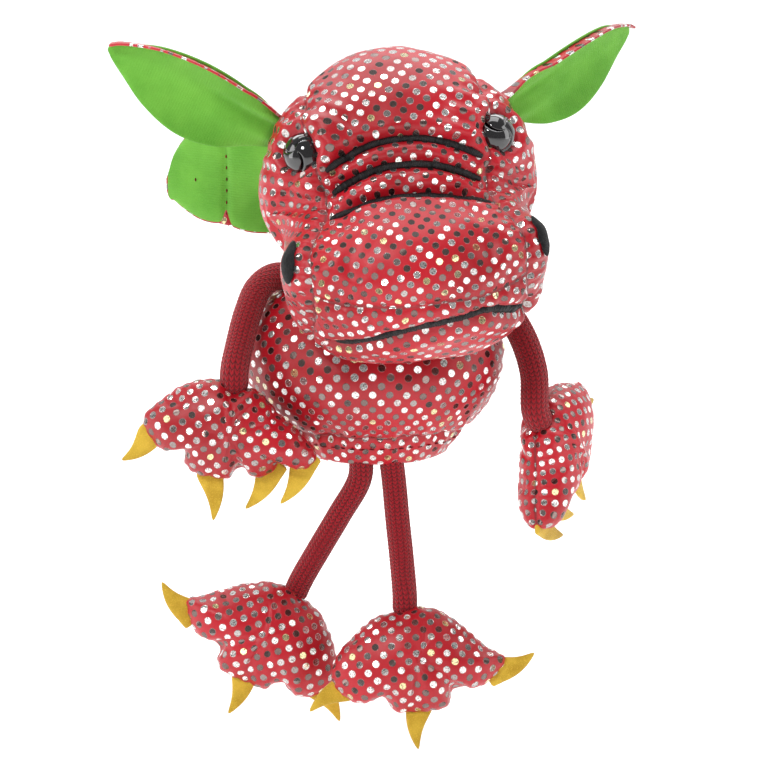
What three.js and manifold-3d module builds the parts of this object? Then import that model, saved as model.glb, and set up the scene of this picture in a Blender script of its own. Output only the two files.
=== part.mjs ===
// A stuffed dragon finger puppet: a sewn head on a padded finger tube, with cord arms and legs that
// end in stuffed paws with felt claws, velour-lined ears and two bat-like wings.
// Millimetres, +Z up, the puppet faces -Y.
// The origin is the centre of the finger opening, in the plane of the hem.
import * as THREE from "three";
import { mergeVertices } from "three/addons/utils/BufferGeometryUtils.js";
import Module from "manifold-3d";

const wasm = await Module();
wasm.setup();

// ---------- driving dimensions ----------
const SKIN = 1.2; // a sewn fabric panel
const GAP = 0.3; // between pieces that touch
const THREAD = 0.7; // radius of an embroidered line
const THREAD_GAP = 0.5; // under an embroidered line, which is straighter than the fabric in the dip
const FELT = 1.5; // thickness of the claw felt
const SEAM_GAP = 0.6; // between two panels at a seam
const PLY_GAP = 0.7; // between two fabrics laid face to face
const STUFFING_GAP = 1; // between a stuffed body and its fabric
const PIVOT_GAP = 0.4; // between a round cord end and the fabric that it turns against

const TORSO = { width: 72, depth: 50, height: 52, lean: 0.28 };
const HEM = { width: 42, depth: 34, height: 8.5 };
const FINGER = { mouthWidth: 30, mouthDepth: 24, bore: 19, depth: 44, lining: 1 };
const NECK = { ball: 16.4, stub: 10, aside: 2.5, back: 1.8, rise: 9.5 }; // its ball, from the torso's top
const HEAD = { fromNeck: [3.5, -14.5, 24.5], pitch: 33, roll: -5, yaw: 6, width: 73 };
const EYE = { width: 11.5, rise: 4.6, shank: 3, shankLength: 6.5, washer: 9, washerThick: 1.2, seat: 2.5 };
const NOSTRIL = { length: 10.5, width: 5.8, felt: 1.1 };
const ARM_CORD = 8;
const LEG_CORD = 7;
const HAND_THICKNESS = 17;
const FOOT_THICKNESS = 19;
const CLAW = { width: 7.6, root: 4, hook: 0.25 };
const EAR = { length: 50, width: 24, root: 11, cup: 5 };
const WING = { span: 61, root: 12, bend: 0.0035, scallop: -2, aside: 8, behind: 2.3, belowTop: 15 };
const SHOULDER = { belowTop: 8.5 }; // where an arm hangs closest to the torso
const HIP = { gap: 0.49, behindHem: 2.4 }; // from the hem's lower edge and its front to a leg's round end

const degrees = THREE.MathUtils.degToRad;
const mix = THREE.MathUtils.lerp;
const point3 = (a) => (a.isVector3 ? a.clone() : new THREE.Vector3(a[0], a[1], a[2] ?? 0));
const material = (colour, roughness, metalness = 0) =>
  new THREE.MeshStandardMaterial({ color: colour, roughness, metalness });

const redFoil = material(0xb0141e, 0.35, 0.2);
const greenVelour = material(0x6fc04a, 0.95);
const redCord = material(0x8f1018, 0.9);
const redLining = material(0x7d1016, 0.9);
const yellowFelt = material(0xe0b52c, 0.95);
const blackThread = material(0x101012, 0.7);
const blackFelt = material(0x141416, 0.95);
const blackPlastic = material(0x060607, 0.08);
const whitePlastic = material(0xe8e8e6, 0.5);
const fibre = material(0xf3f1ea, 1);

// ---------- solids ----------
// A closed geometry with shared vertices and its faces pointing out.
function closed(geometry) {
  const bare = new THREE.BufferGeometry();
  bare.setAttribute("position", geometry.getAttribute("position"));
  if (geometry.index) bare.setIndex(geometry.index);
  const merged = mergeVertices(bare, 1e-3);
  const p = merged.getAttribute("position");
  const kept = [];
  let volume = 0;
  for (let i = 0; i < merged.index.count; i += 3) {
    const [a, b, c] = [0, 1, 2].map((k) => merged.index.getX(i + k));
    if (a === b || b === c || a === c) continue;
    kept.push(a, b, c);
    const [va, vb, vc] = [a, b, c].map((k) => new THREE.Vector3().fromBufferAttribute(p, k));
    volume += va.dot(vb.cross(vc));
  }
  if (volume < 0) {
    for (let i = 0; i < kept.length; i += 3) [kept[i + 1], kept[i + 2]] = [kept[i + 2], kept[i + 1]];
  }
  merged.setIndex(kept);
  return merged;
}

// Every vertex of a geometry moved by a function of its position.
function remap(geometry, move) {
  const p = geometry.getAttribute("position");
  const at = new THREE.Vector3();
  for (let i = 0; i < p.count; i += 1) {
    at.fromBufferAttribute(p, i);
    const to = move(at);
    p.setXYZ(i, to.x, to.y, to.z);
  }
  return closed(geometry);
}

function solidOf(geometry) {
  const g = closed(geometry);
  return new wasm.Manifold(
    new wasm.Mesh({
      numProp: 3,
      vertProperties: new Float32Array(g.getAttribute("position").array),
      triVerts: new Uint32Array(g.index.array),
    }),
  );
}

function geometryOf(solid) {
  const mesh = solid.getMesh();
  const g = new THREE.BufferGeometry();
  g.setAttribute("position", new THREE.BufferAttribute(mesh.vertProperties.slice(), 3));
  g.setIndex(new THREE.BufferAttribute(mesh.triVerts.slice(), 1));
  return g;
}

const cut = (geometry, ...tools) =>
  geometryOf(tools.reduce((solid, tool) => solid.subtract(solidOf(tool)), solidOf(geometry)));
const join = (a, b) => geometryOf(solidOf(a).add(solidOf(b)));

// The largest closed body of a geometry that a cut has parted.
function mainBody(geometry) {
  const bodies = solidOf(geometry).decompose();
  return geometryOf(bodies.sort((a, b) => b.volume() - a.volume())[0]);
}

// A solid of revolution round Z, from [radius, height] points.
function turned(points, sides) {
  const lathe = new THREE.LatheGeometry(points.map((p) => new THREE.Vector2(...p)), sides);
  return remap(lathe, (p) => new THREE.Vector3(p.x, -p.z, p.y));
}

const rod = (radius, from, to, sides = 18) =>
  turned([[0, from], [radius, from], [radius, to], [0, to]], sides);

// A solid inside a wall that goes round Z, between two heights: wall(angle, height) is a point of it.
function plug(sides, steps, low, high, wall) {
  const profile = [new THREE.Vector2(0, low)];
  for (let i = 0; i <= steps; i += 1) profile.push(new THREE.Vector2(1, mix(low, high, i / steps)));
  profile.push(new THREE.Vector2(0, high));
  return remap(new THREE.LatheGeometry(profile, sides), (p) => {
    const centre = wall(0, p.y).add(wall(Math.PI, p.y)).multiplyScalar(0.5);
    return centre.lerp(wall(Math.atan2(p.z, p.x), p.y), Math.hypot(p.x, p.z));
  });
}

// A flat piece of fabric that lies over an XY region between two edges, on a height field.
function sheet({ length, low, high, field, inner, outer, along, across }) {
  return remap(new THREE.BoxGeometry(1, 1, 1, along, across, 1), (p) => {
    const x = length * (p.x + 0.5);
    const y = mix(low(x), high(x), p.y + 0.5);
    return new THREE.Vector3(x, y, field(x, y) + mix(inner, outer, p.z + 0.5));
  });
}

// A smooth function through [position, value] pairs in rising order.
function through(pairs) {
  return (x) => {
    let i = pairs.findIndex((pair) => pair[0] > x);
    if (i < 0) return pairs.at(-1)[1];
    if (i === 0) return pairs[0][1];
    i -= 1;
    const [x0, y0] = pairs[i];
    const [x1, y1] = pairs[i + 1];
    const slope = (a, b) => (b[1] - a[1]) / (b[0] - a[0]);
    const before = pairs[i - 1] ?? pairs[i];
    const after = pairs[i + 2] ?? pairs[i + 1];
    const m0 = slope(before, pairs[i + 1]) * (x1 - x0);
    const m1 = slope(pairs[i], after) * (x1 - x0);
    const t = (x - x0) / (x1 - x0);
    const toEnd = 3 * t ** 2 - 2 * t ** 3;
    const leaving = t ** 3 - 2 * t ** 2 + t;
    const arriving = t ** 3 - t ** 2;
    return (1 - toEnd) * y0 + leaving * m0 + toEnd * y1 + arriving * m1;
  };
}

// ---------- stuffed forms ----------
// A pillow-like form: an outline in the XY plane, run counterclockwise, and a half thickness along Z.
// s runs round the outline from 0 to 1; psi is 0 at the outline and a right angle at the middle of a face.
class StuffedForm {
  constructor({ outline, centre, halfThickness, boxiness }) {
    this.curve = new THREE.CatmullRomCurve3(outline.map(point3), true, "centripetal");
    this.curve.arcLengthDivisions = 600;
    this.corners = outline.length;
    this.centre = point3(centre);
    this.halfThickness = halfThickness;
    this.boxiness = boxiness;
  }

  // Where a corner of the outline lies along it.
  at(corner) {
    const lengths = this.curve.getLengths();
    const steps = lengths.length - 1;
    return lengths[Math.round((corner / this.corners) * steps)] / lengths[steps];
  }

  point(s, psi, lift = 0) {
    const wrapped = ((s % 1) + 1) % 1;
    const edge = this.curve.getPointAt(wrapped);
    const along = this.curve.getTangentAt(wrapped);
    const power = 2 / this.boxiness(edge);
    edge.add(new THREE.Vector3(along.y, -along.x, 0).multiplyScalar(lift));
    const p = this.centre.clone().lerp(edge, Math.max(0, Math.cos(psi)) ** power);
    p.z = Math.sign(psi) * (this.halfThickness(p) + lift) * Math.abs(Math.sin(psi)) ** power;
    return p;
  }

  normal(s, psi) {
    const d = 1e-3;
    const ds = this.point(s + d, psi).sub(this.point(s - d, psi));
    const dp = this.point(s, psi + d).sub(this.point(s, psi - d));
    return ds.cross(dp).normalize();
  }

  // A panel over part of the outline, from one psi to another, between two lifts.
  strip({ from, to, edge, inner, outer, steps, across }) {
    return remap(new THREE.BoxGeometry(1, 1, 1, steps, 1, across), (p) =>
      this.point(mix(from, to, p.x + 0.5), 2 * p.z * edge, mix(inner, outer, p.y + 0.5)),
    );
  }

  // A panel over one face, from its middle out to psi = edge.
  face({ side, edge, inner, outer, rings, around }) {
    const profile = [];
    for (let i = 0; i <= rings; i += 1) profile.push(new THREE.Vector2(i / rings, 1));
    for (let i = rings; i >= 0; i -= 1) profile.push(new THREE.Vector2(i / rings, 0));
    return remap(new THREE.LatheGeometry(profile, around), (p) =>
      this.point(
        Math.atan2(p.z, p.x) / (2 * Math.PI),
        side * mix(Math.PI / 2, edge, Math.hypot(p.x, p.z)),
        mix(inner, outer, p.y),
      ),
    );
  }

  // The whole form, grown or shrunk by lift.
  core({ lift, around, rings }) {
    return remap(new THREE.SphereGeometry(1, around, rings), (p) =>
      this.point(
        Math.atan2(p.z, p.x) / (2 * Math.PI),
        Math.asin(THREE.MathUtils.clamp(p.y, -1, 1)),
        lift,
      ),
    );
  }

  // A patch that follows the surface, an ellipse in s and psi.
  patch({ s, psi, halfS, halfPsi, inner, outer, sides }) {
    const corners = [[0, 1], [0.55, 1], [1, 1], [1, 0], [0.55, 0], [0, 0]];
    const profile = corners.map((corner) => new THREE.Vector2(...corner));
    return remap(new THREE.LatheGeometry(profile, sides), (p) =>
      this.point(s + halfS * p.x, psi + halfPsi * p.z, mix(inner, outer, p.y)),
    );
  }

  // A thread laid on the surface through [s, psi] points.
  thread(route, steps) {
    const path = new THREE.CatmullRomCurve3(route.map(([s, psi]) => this.point(s, psi, THREAD_GAP + THREAD)));
    return tube(path, THREAD, steps, 6);
  }
}

function tube(path, radius, steps, sides) {
  const section = new THREE.Shape();
  for (let i = 0; i < sides; i += 1) {
    const a = (2 * Math.PI * i) / sides;
    if (i) section.lineTo(radius * Math.cos(a), radius * Math.sin(a));
    else section.moveTo(radius, 0);
  }
  return closed(new THREE.ExtrudeGeometry(section, { extrudePath: path, steps, bevelEnabled: false }));
}

// ---------- assembly ----------
const puppet = new THREE.Group();

function add(parent, name, geometry, look) {
  const mesh = new THREE.Mesh(geometry, look);
  mesh.name = name;
  parent.add(mesh);
  return mesh;
}

// A group placed at a point, with its X along one direction and its Z as near another as it can be.
function frame(parent, at, along, facing) {
  const x = point3(along).normalize();
  const z = point3(facing);
  z.addScaledVector(x, -z.dot(x)).normalize();
  const group = new THREE.Group();
  group.quaternion.setFromRotationMatrix(new THREE.Matrix4().makeBasis(x, z.clone().cross(x), z));
  group.position.copy(point3(at));
  parent.add(group);
  return group;
}

// ---------- torso ----------
// Half sizes by height, as shares of the widest; the shoulders are round and the hem is drawn in.
const torsoWide = through([[0, HEM.width / TORSO.width], [0.15, 0.735], [0.35, 0.925], [0.54, 1],
  [0.71, 0.985], [0.85, 0.86], [0.94, 0.62], [1, 0.36]]);
const torsoDeep = through([[0, HEM.depth / TORSO.depth], [0.15, 0.8], [0.35, 0.96], [0.54, 1],
  [0.71, 0.93], [0.85, 0.69], [0.94, 0.5], [1, 0.36]]);
const torsoSway = (z) => TORSO.lean * Math.max(0, z - 0.54 * TORSO.height);

function torsoPoint(angle, z, lift) {
  const rx = (TORSO.width / 2) * torsoWide(z / TORSO.height) + lift;
  const ry = (TORSO.depth / 2) * torsoDeep(z / TORSO.height) + lift;
  return new THREE.Vector3(rx * Math.cos(angle), ry * Math.sin(angle) + torsoSway(z), z);
}

// The finger tube's wall, at a height and a distance out from its bore.
const bore = FINGER.bore / 2;
const mouthHalf = { wide: FINGER.mouthWidth / 2, deep: FINGER.mouthDepth / 2 };
const boreWide = through([[0, mouthHalf.wide], [0.2, mouthHalf.wide - 2.5], [0.5, bore], [1, bore]]);
const boreDeep = through([[0, mouthHalf.deep], [0.2, mouthHalf.deep - 1.2], [0.5, bore], [1, bore]]);

function borePoint(angle, z, lift) {
  const t = THREE.MathUtils.clamp(z / FINGER.depth, 0, 1);
  return new THREE.Vector3(
    (boreWide(t) + lift) * Math.cos(angle),
    (boreDeep(t) + lift) * Math.sin(angle) + torsoSway(z) / 2,
    z,
  );
}

function torsoPanel(start, end) {
  const seam = SEAM_GAP / TORSO.depth;
  return remap(new THREE.BoxGeometry(1, 1, 1, 12, 1, 8), (p) =>
    torsoPoint(
      mix(start + seam, end - seam, p.x + 0.5),
      mix(HEM.height + GAP, TORSO.height, p.z + 0.5),
      mix(-SKIN, 0, p.y + 0.5),
    ),
  );
}
add(puppet, "torso_front_panel", torsoPanel(-Math.PI, 0), redFoil);
add(puppet, "torso_back_panel", torsoPanel(0, Math.PI), redFoil);

// The finger lining is a cup; what surrounds it keeps a gap outside its wall and over its end.
const liningTop = FINGER.depth + FINGER.lining;
const aroundLining = plug(18, 6, -1, liningTop + GAP, (angle, z) => borePoint(angle, z, FINGER.lining + GAP));
const inLining = plug(18, 6, -1, FINGER.depth, (angle, z) => borePoint(angle, z, 0));
add(
  puppet,
  "finger_lining",
  cut(plug(18, 6, 0, liningTop, (angle, z) => borePoint(angle, z, FINGER.lining)), inLining),
  redLining,
);
add(
  puppet,
  "torso_padding",
  cut(
    plug(20, 6, HEM.height + GAP, TORSO.height, (angle, z) => torsoPoint(angle, z, -SKIN - STUFFING_GAP)),
    aroundLining,
  ),
  fibre,
);
add(
  puppet,
  "hem_band",
  cut(plug(20, 3, 0, HEM.height, (angle, z) => torsoPoint(angle, z, 0)), aroundLining),
  redFoil,
);

// ---------- neck ----------
// A soft stub with a round top, on which the head nods and turns.
const neckAt = [NECK.aside, torsoSway(TORSO.height) + NECK.back, TORSO.height + NECK.rise];
const neckBall = NECK.ball / 2;
function neckGeometry() {
  const foot = GAP - NECK.rise;
  const stub = NECK.stub / 2;
  const profile = [[0, foot], [stub, foot]];
  const lowest = -Math.acos(stub / neckBall);
  const arcs = 8;
  for (let i = 0; i < arcs; i += 1) {
    const a = mix(lowest, Math.PI / 2, i / arcs);
    profile.push([neckBall * Math.cos(a), neckBall * Math.sin(a)]);
  }
  return turned([...profile, [0, neckBall]], 20);
}
add(puppet, "neck_tube", neckGeometry(), redFoil).position.copy(point3(neckAt));

// ---------- head ----------
const head = new THREE.Group();
head.position.copy(point3(neckAt)).add(point3(HEAD.fromNeck));
head.rotation.set(degrees(HEAD.pitch), degrees(HEAD.roll), degrees(HEAD.yaw), "ZYX");
puppet.add(head);

// The head's side view lies in the form's XY plane, X forward and Y up, with the puppet's right along Z.
const profileView = frame(head, [0, 0, 0], [0, -1, 0], [-1, 0, 0]);
const HEAD_OUTLINE = [
  [-14, -24], // nape
  [6, -28], // front of the neck
  [28, -27], // throat
  [50, -26], // chin
  [57.5, -9], // lip
  [59, 2], // nose
  [54, 11], // top of the nose
  [42, 14], // snout
  [30, 14.5], // dip between snout and brow
  [17, 23], // brow
  [6, 28], // forehead
  [-12, 28], // crown
  [-25, 14],
  [-28, -6], // back
];
const [LIP, NOSE, NOSE_TOP, DIP, BROW, FOREHEAD, BACK_TOP] = [4, 5, 6, 8, 9, 10, 12];
const headHalf = HEAD.width / 2;
const headWide = through([[-28, 0.82 * headHalf], [0, headHalf], [12, headHalf], [28, 0.88 * headHalf],
  [44, 1.09 * headHalf], [56, 1.09 * headHalf], [60, 1.02 * headHalf]]);
const skull = new StuffedForm({
  outline: HEAD_OUTLINE,
  centre: [16, 0],
  halfThickness: (p) => headWide(p.x),
  boxiness: (p) => mix(2.15, 2.65, THREE.MathUtils.smoothstep(p.x, 15, 50)),
});

// A cheek seam runs down each side, at this turn from the side-view outline.
const CHEEK_SEAM = degrees(40);
const seamTurn = SEAM_GAP / 2 / headHalf;
const seamStep = SEAM_GAP / 2 / skull.curve.getLength();

// The two long panels meet at the nape, where the outline starts, and across the front of the snout.
puppet.updateMatrixWorld(true);
const neckPoint = profileView.worldToLocal(point3(neckAt));
const neckSocket = new THREE.SphereGeometry(neckBall + GAP, 24, 14).translate(...neckPoint.toArray());
const nose = skull.at(NOSE);
const middle = { edge: CHEEK_SEAM - seamTurn, inner: -SKIN, outer: 0, across: 6 };
const gusset = skull.strip({ ...middle, from: nose + seamStep, to: 1 - seamStep, steps: 22 });
const jaw = skull.strip({ ...middle, from: seamStep, to: nose - seamStep, steps: 16 });
add(profileView, "head_gusset", gusset, redFoil);
add(profileView, "jaw_panel", cut(jaw, neckSocket), redFoil);

// The puppet's own right is at positive psi and at -X; its left is at negative psi and at +X.
const SIDES = [["right", 1], ["left", -1]];

// A safety eye: a domed button on a shank that goes through the fabric, and a washer that holds it.
const EYE_TURN = degrees(46.5);
const eyeS = skull.at((BROW + FOREHEAD) / 2);
function addEye(name, side) {
  const normal = skull.normal(eyeS, side * EYE_TURN);
  const seat = frame(profileView, skull.point(eyeS, side * EYE_TURN), [normal.y, -normal.x, 0], normal);
  const shank = EYE.shank / 2;
  const profile = [[0, GAP - EYE.shankLength], [shank, GAP - EYE.shankLength], [shank, GAP]];
  const arcs = 6;
  for (let i = 0; i < arcs; i += 1) {
    const a = (i / arcs) * (Math.PI / 2);
    profile.push([(EYE.width / 2) * Math.cos(a), GAP + EYE.rise * Math.sin(a)]);
  }
  add(seat, name, turned([...profile, [0, GAP + EYE.rise]], 18), blackPlastic);

  const top = -EYE.seat;
  const foot = top - EYE.washerThick;
  const [inside, outside] = [shank + GAP, EYE.washer / 2];
  const ring = [[inside, top], [inside, foot], [outside, foot], [outside, top], [inside, top]];
  add(seat, `${name}_washer`, turned(ring, 18), whitePlastic);
  seat.updateMatrix();
  return {
    hole: rod(inside, -EYE.shankLength - GAP, EYE.rise).applyMatrix4(seat.matrix),
    pocket: rod(outside + GAP, foot - GAP, EYE.rise).applyMatrix4(seat.matrix),
  };
}

// A felt nostril lies along the front corner of the snout, across the cheek seam's line.
const NOSTRIL_TURN = degrees(52);
const nostrilS = skull.at(NOSE_TOP - 0.1);
const nostrilRun = 0.69 * skull.curve.getLength();

const eyeCuts = [];
for (const [name, side] of SIDES) {
  const { hole, pocket } = addEye(`${name}_eye`, side);
  eyeCuts.push(hole, pocket);
  const cap = { side, edge: CHEEK_SEAM + seamTurn, inner: -SKIN, outer: 0, rings: 4, around: 36 };
  add(profileView, `${name}_cheek`, cut(skull.face(cap), hole), redFoil);
  const felt = skull.patch({
    s: nostrilS,
    psi: side * NOSTRIL_TURN,
    halfS: NOSTRIL.length / 2 / nostrilRun,
    halfPsi: NOSTRIL.width / 2 / headHalf,
    inner: GAP,
    outer: GAP + NOSTRIL.felt,
    sides: 16,
  });
  add(profileView, `${name}_nostril`, felt, blackFelt);
}
const stuffing = skull.core({ lift: -SKIN - STUFFING_GAP, around: 32, rings: 16 });
add(profileView, "head_stuffing", cut(stuffing, neckSocket, ...eyeCuts), fibre);

// Three embroidered lines run over the brow, and a wavy one makes the mouth.
const BROW_LINES = [BROW - 0.1, mix(DIP, BROW, 0.45), DIP - 0.15];
const BROW_REACH = degrees(36);
BROW_LINES.forEach((corner, i) => {
  const s = skull.at(corner);
  const sway = [-0.015, -0.003, 0.005, 0.008, 0.006, -0.002, -0.013];
  const route = sway.map((ds, k) => [s + ds, mix(-BROW_REACH, BROW_REACH, k / (sway.length - 1))]);
  add(profileView, `brow_line_${i + 1}`, skull.thread(route, 18), blackThread);
});
const mouthS = skull.at(LIP + 0.1);
const MOUTH = [
  [-0.036, -41],
  [-0.014, -32],
  [0.012, -21],
  [0.01, -7],
  [-0.003, 7],
  [-0.024, 19],
  [-0.042, 29],
];
const mouthRoute = MOUTH.map(([ds, turn]) => [mouthS + ds, degrees(turn)]);
add(profileView, "mouth_line", skull.thread(mouthRoute, 22), blackThread);

// ---------- ears ----------
// A cupped leaf of two fabrics, its root on the head and its green face forward.
const earHalf = through([[0, EAR.root / 2], [0.2, 0.42 * EAR.width], [0.45, 0.5 * EAR.width],
  [0.7, 0.4 * EAR.width], [0.9, 0.19 * EAR.width], [1, 0.05 * EAR.width]]);
const EAR_TURN = degrees(59);
const EAR_DIRECTIONS = { right: [-0.39, 0.38, 0.84], left: [-0.58, -0.02, -0.81] };
const EAR_FACING = [0.9, 0.1, 0];
const earS = skull.at(BACK_TOP - 0.15);
const EAR_STAND = 3.2; // from the head's surface to the hinge line at the ear's root

function fabricPair(parent, form, layers) {
  for (const { name, side, look } of layers) {
    const faces = [(side * PLY_GAP) / 2, side * (PLY_GAP / 2 + SKIN)];
    add(parent, name, sheet({ ...form, inner: Math.min(...faces), outer: Math.max(...faces) }), look);
  }
}

for (const [name, side] of SIDES) {
  const root = skull.point(earS, side * EAR_TURN, EAR_STAND);
  const ear = frame(profileView, root, EAR_DIRECTIONS[name], EAR_FACING);
  const form = {
    length: EAR.length,
    low: (x) => -earHalf(x / EAR.length),
    high: (x) => earHalf(x / EAR.length),
    field: (x, y) => EAR.cup * Math.min(1, x / EAR.root) * (y / (EAR.width / 2)) ** 2,
    along: 8,
    across: 4,
  };
  fabricPair(ear, form, [
    { name: `${name}_ear_inner`, side: 1, look: greenVelour },
    { name: `${name}_ear_outer`, side: -1, look: redFoil },
  ]);
}

// ---------- wings ----------
// A bat wing with a scalloped lower edge; each wing swings on its upright root behind the torso.
const WING_TOP = [[0, WING.root], [0.14, 35], [0.35, 50], [0.6, 54], [0.84, 49], [0.95, 42], [1, 34]];
const WING_LOW = [[0, 0], [0.26, 20], [0.64, 22.5], [0.97, 28], [1, 31]];
const wingTop = through(WING_TOP);
const wingKnots = through(WING_LOW);
function wingLow(t) {
  const bay = WING_LOW.findIndex((knot) => knot[0] >= t && knot[0] > 0);
  const [from, to] = [WING_LOW[bay - 1][0], WING_LOW[bay][0]];
  return wingKnots(t) + WING.scallop * Math.sin((Math.PI * (t - from)) / (to - from));
}
const WING_SWEEP = { right: 14, left: 49 };
const wingFoot = TORSO.height - WING.belowTop;
const wingDepth = torsoPoint(Math.PI / 2, wingFoot, WING.behind).y;
for (const [name, side] of SIDES) {
  const sweep = degrees(WING_SWEEP[name]);
  const out = [-side * Math.cos(sweep), Math.sin(sweep), 0];
  const front = [-side * Math.sin(sweep), -Math.cos(sweep), 0];
  const wing = frame(puppet, [-side * WING.aside, wingDepth, wingFoot], out, front);
  // The frame's Y points down on the puppet's right, so the outline is turned over there.
  const form = {
    length: WING.span,
    low: (x) => -side * wingLow(x / WING.span),
    high: (x) => -side * wingTop(x / WING.span),
    field: (x) => -WING.bend * x * x,
    along: 14,
    across: 2,
  };
  fabricPair(wing, form, [
    { name: `${name}_wing_front`, side: 1, look: greenVelour },
    { name: `${name}_wing_back`, side: -1, look: redFoil },
  ]);
}

// ---------- arms, legs and paws ----------
// A cord along a route, with a round end on the pivot at each end of it.
const ballOf = (cord) => 0.53 * cord;
function cordGeometry(route, cord) {
  const path = new THREE.CatmullRomCurve3(route.map(point3));
  const ends = [route[0], route.at(-1)].map((at) =>
    new THREE.SphereGeometry(ballOf(cord), 10, 6).translate(...at),
  );
  return ends.reduce(join, tube(path, cord / 2, 9, 8));
}

const mirrored = (points) => points.map(([x, y]) => [-x, y]).toReversed();

// A stuffed paw: two fabric shells over stuffing, and felt claws in the seam. Its outline is for the
// puppet's right, from the dip where the cord is sewn on; the left is its mirror image.
function addPaw(name, side, parent, at, along, facing, shape) {
  const { outline, centre, claws, thickness, shells, cord } = shape;
  const drop = ballOf(cord) + PIVOT_GAP;
  const handed = (points) => (side > 0 ? points : mirrored(points));
  const lowered = handed(outline).map(([x, y]) => [x, y - drop]);
  const [middle] = handed([centre]);
  const form = new StuffedForm({
    outline: lowered,
    centre: [middle[0], middle[1] - drop],
    halfThickness: () => thickness / 2,
    boxiness: () => 2.1,
  });
  const paw = frame(parent, at, along, facing);
  const seam = SEAM_GAP / thickness;
  for (const [shell, face] of [[shells[0], 1], [shells[1], -1]]) {
    const cap = { side: face, edge: seam, inner: -SKIN, outer: 0, rings: 3, around: 36 };
    add(paw, `${name}_${shell}`, form.face(cap), redFoil);
  }
  add(paw, `${name}_stuffing`, form.core({ lift: -SKIN - STUFFING_GAP, around: 26, rings: 6 }), fibre);
  const clearance = form.core({ lift: GAP, around: 36, rings: 12 });
  claws.forEach(([base, tip], i) => {
    const [[baseX, baseY], [tipX, tipY]] = [base, tip].map((p) => handed([p])[0]);
    const from = new THREE.Vector2(baseX, baseY - drop);
    const to = new THREE.Vector2(tipX, tipY - drop);
    const claw = cut(clawGeometry(from, to, side), clearance);
    add(paw, `${name}_claw_${i + 1}`, mainBody(claw), yellowFelt);
  });
}

// A felt claw in the XY plane, its root sunk behind the base line and its point slightly hooked.
function clawGeometry(base, tip, side) {
  const along = tip.clone().sub(base).normalize();
  const across = new THREE.Vector2(-along.y, along.x).multiplyScalar(CLAW.width / 2);
  const root = base.clone().addScaledVector(along, -CLAW.root);
  const hook = across.clone().multiplyScalar(CLAW.hook * side);
  const middle = base.clone().lerp(tip, 0.5).add(hook);
  const shape = new THREE.Shape();
  shape.moveTo(...root.clone().add(across).toArray());
  shape.lineTo(...base.clone().add(across).toArray());
  shape.quadraticCurveTo(...middle.clone().addScaledVector(across, 0.5).toArray(), ...tip.toArray());
  shape.quadraticCurveTo(
    ...middle.clone().addScaledVector(across, -0.5).toArray(),
    ...base.clone().sub(across).toArray(),
  );
  shape.lineTo(...root.clone().sub(across).toArray());
  const g = new THREE.ExtrudeGeometry(shape, { depth: FELT, bevelEnabled: false, curveSegments: 5 });
  return closed(g.translate(0, 0, -FELT / 2));
}

const HAND = {
  shells: ["back", "palm"],
  thickness: HAND_THICKNESS,
  cord: ARM_CORD,
  centre: [-1, -12],
  outline: [
    [0, 0],
    [-5.4, 2.6],
    [-13.7, 1.1],
    [-19.8, -2.7],
    [-25.5, -8.3], // first finger
    [-24.3, -12.2],
    [-20.1, -16.7],
    [-15.6, -17.4],
    [-14, -20.6], // second finger
    [-11.2, -23.9],
    [-2.9, -25.4],
    [1.6, -23.9],
    [6.9, -24.6], // third finger
    [13.9, -21.8],
    [19, -22.6], // fourth finger
    [23.2, -19.7],
    [19, -13],
    [13, -7.4],
    [5.2, -0.2],
  ],
  claws: [
    [[-23.8, -13.3], [-32, -20.5]],
    [[-7.2, -24.4], [-6.5, -38]],
    [[9.5, -24], [2.6, -34.5]],
    [[19, -22], [12.5, -33]],
  ],
};

const FOOT = {
  shells: ["top", "sole"],
  thickness: FOOT_THICKNESS,
  cord: LEG_CORD,
  centre: [-3.5, -15],
  outline: mirrored([
    [4.3, 0.8],
    [0, 0],
    [-8.3, -1.8],
    [-14.6, -7.3],
    [-19.4, -13.6],
    [-20.8, -19.8], // inner toe
    [-15.3, -25.7],
    [-5.7, -26.2],
    [-2.8, -28.1], // middle toe
    [3.4, -28.8],
    [11.1, -27.4],
    [16.6, -21.4],
    [21.5, -21.2], // outer toe
    [24.9, -19.1],
    [28.4, -13.6],
    [24.3, -10.8],
    [15.9, -3.9],
    [9, 0],
  ]),
  claws: [
    [[16.6, -21.9], [26.8, -28.5]],
    [[-4.1, -26.8], [-3.8, -39]],
    [[-26.3, -16.8], [-36.6, -12]],
  ],
};

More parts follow.
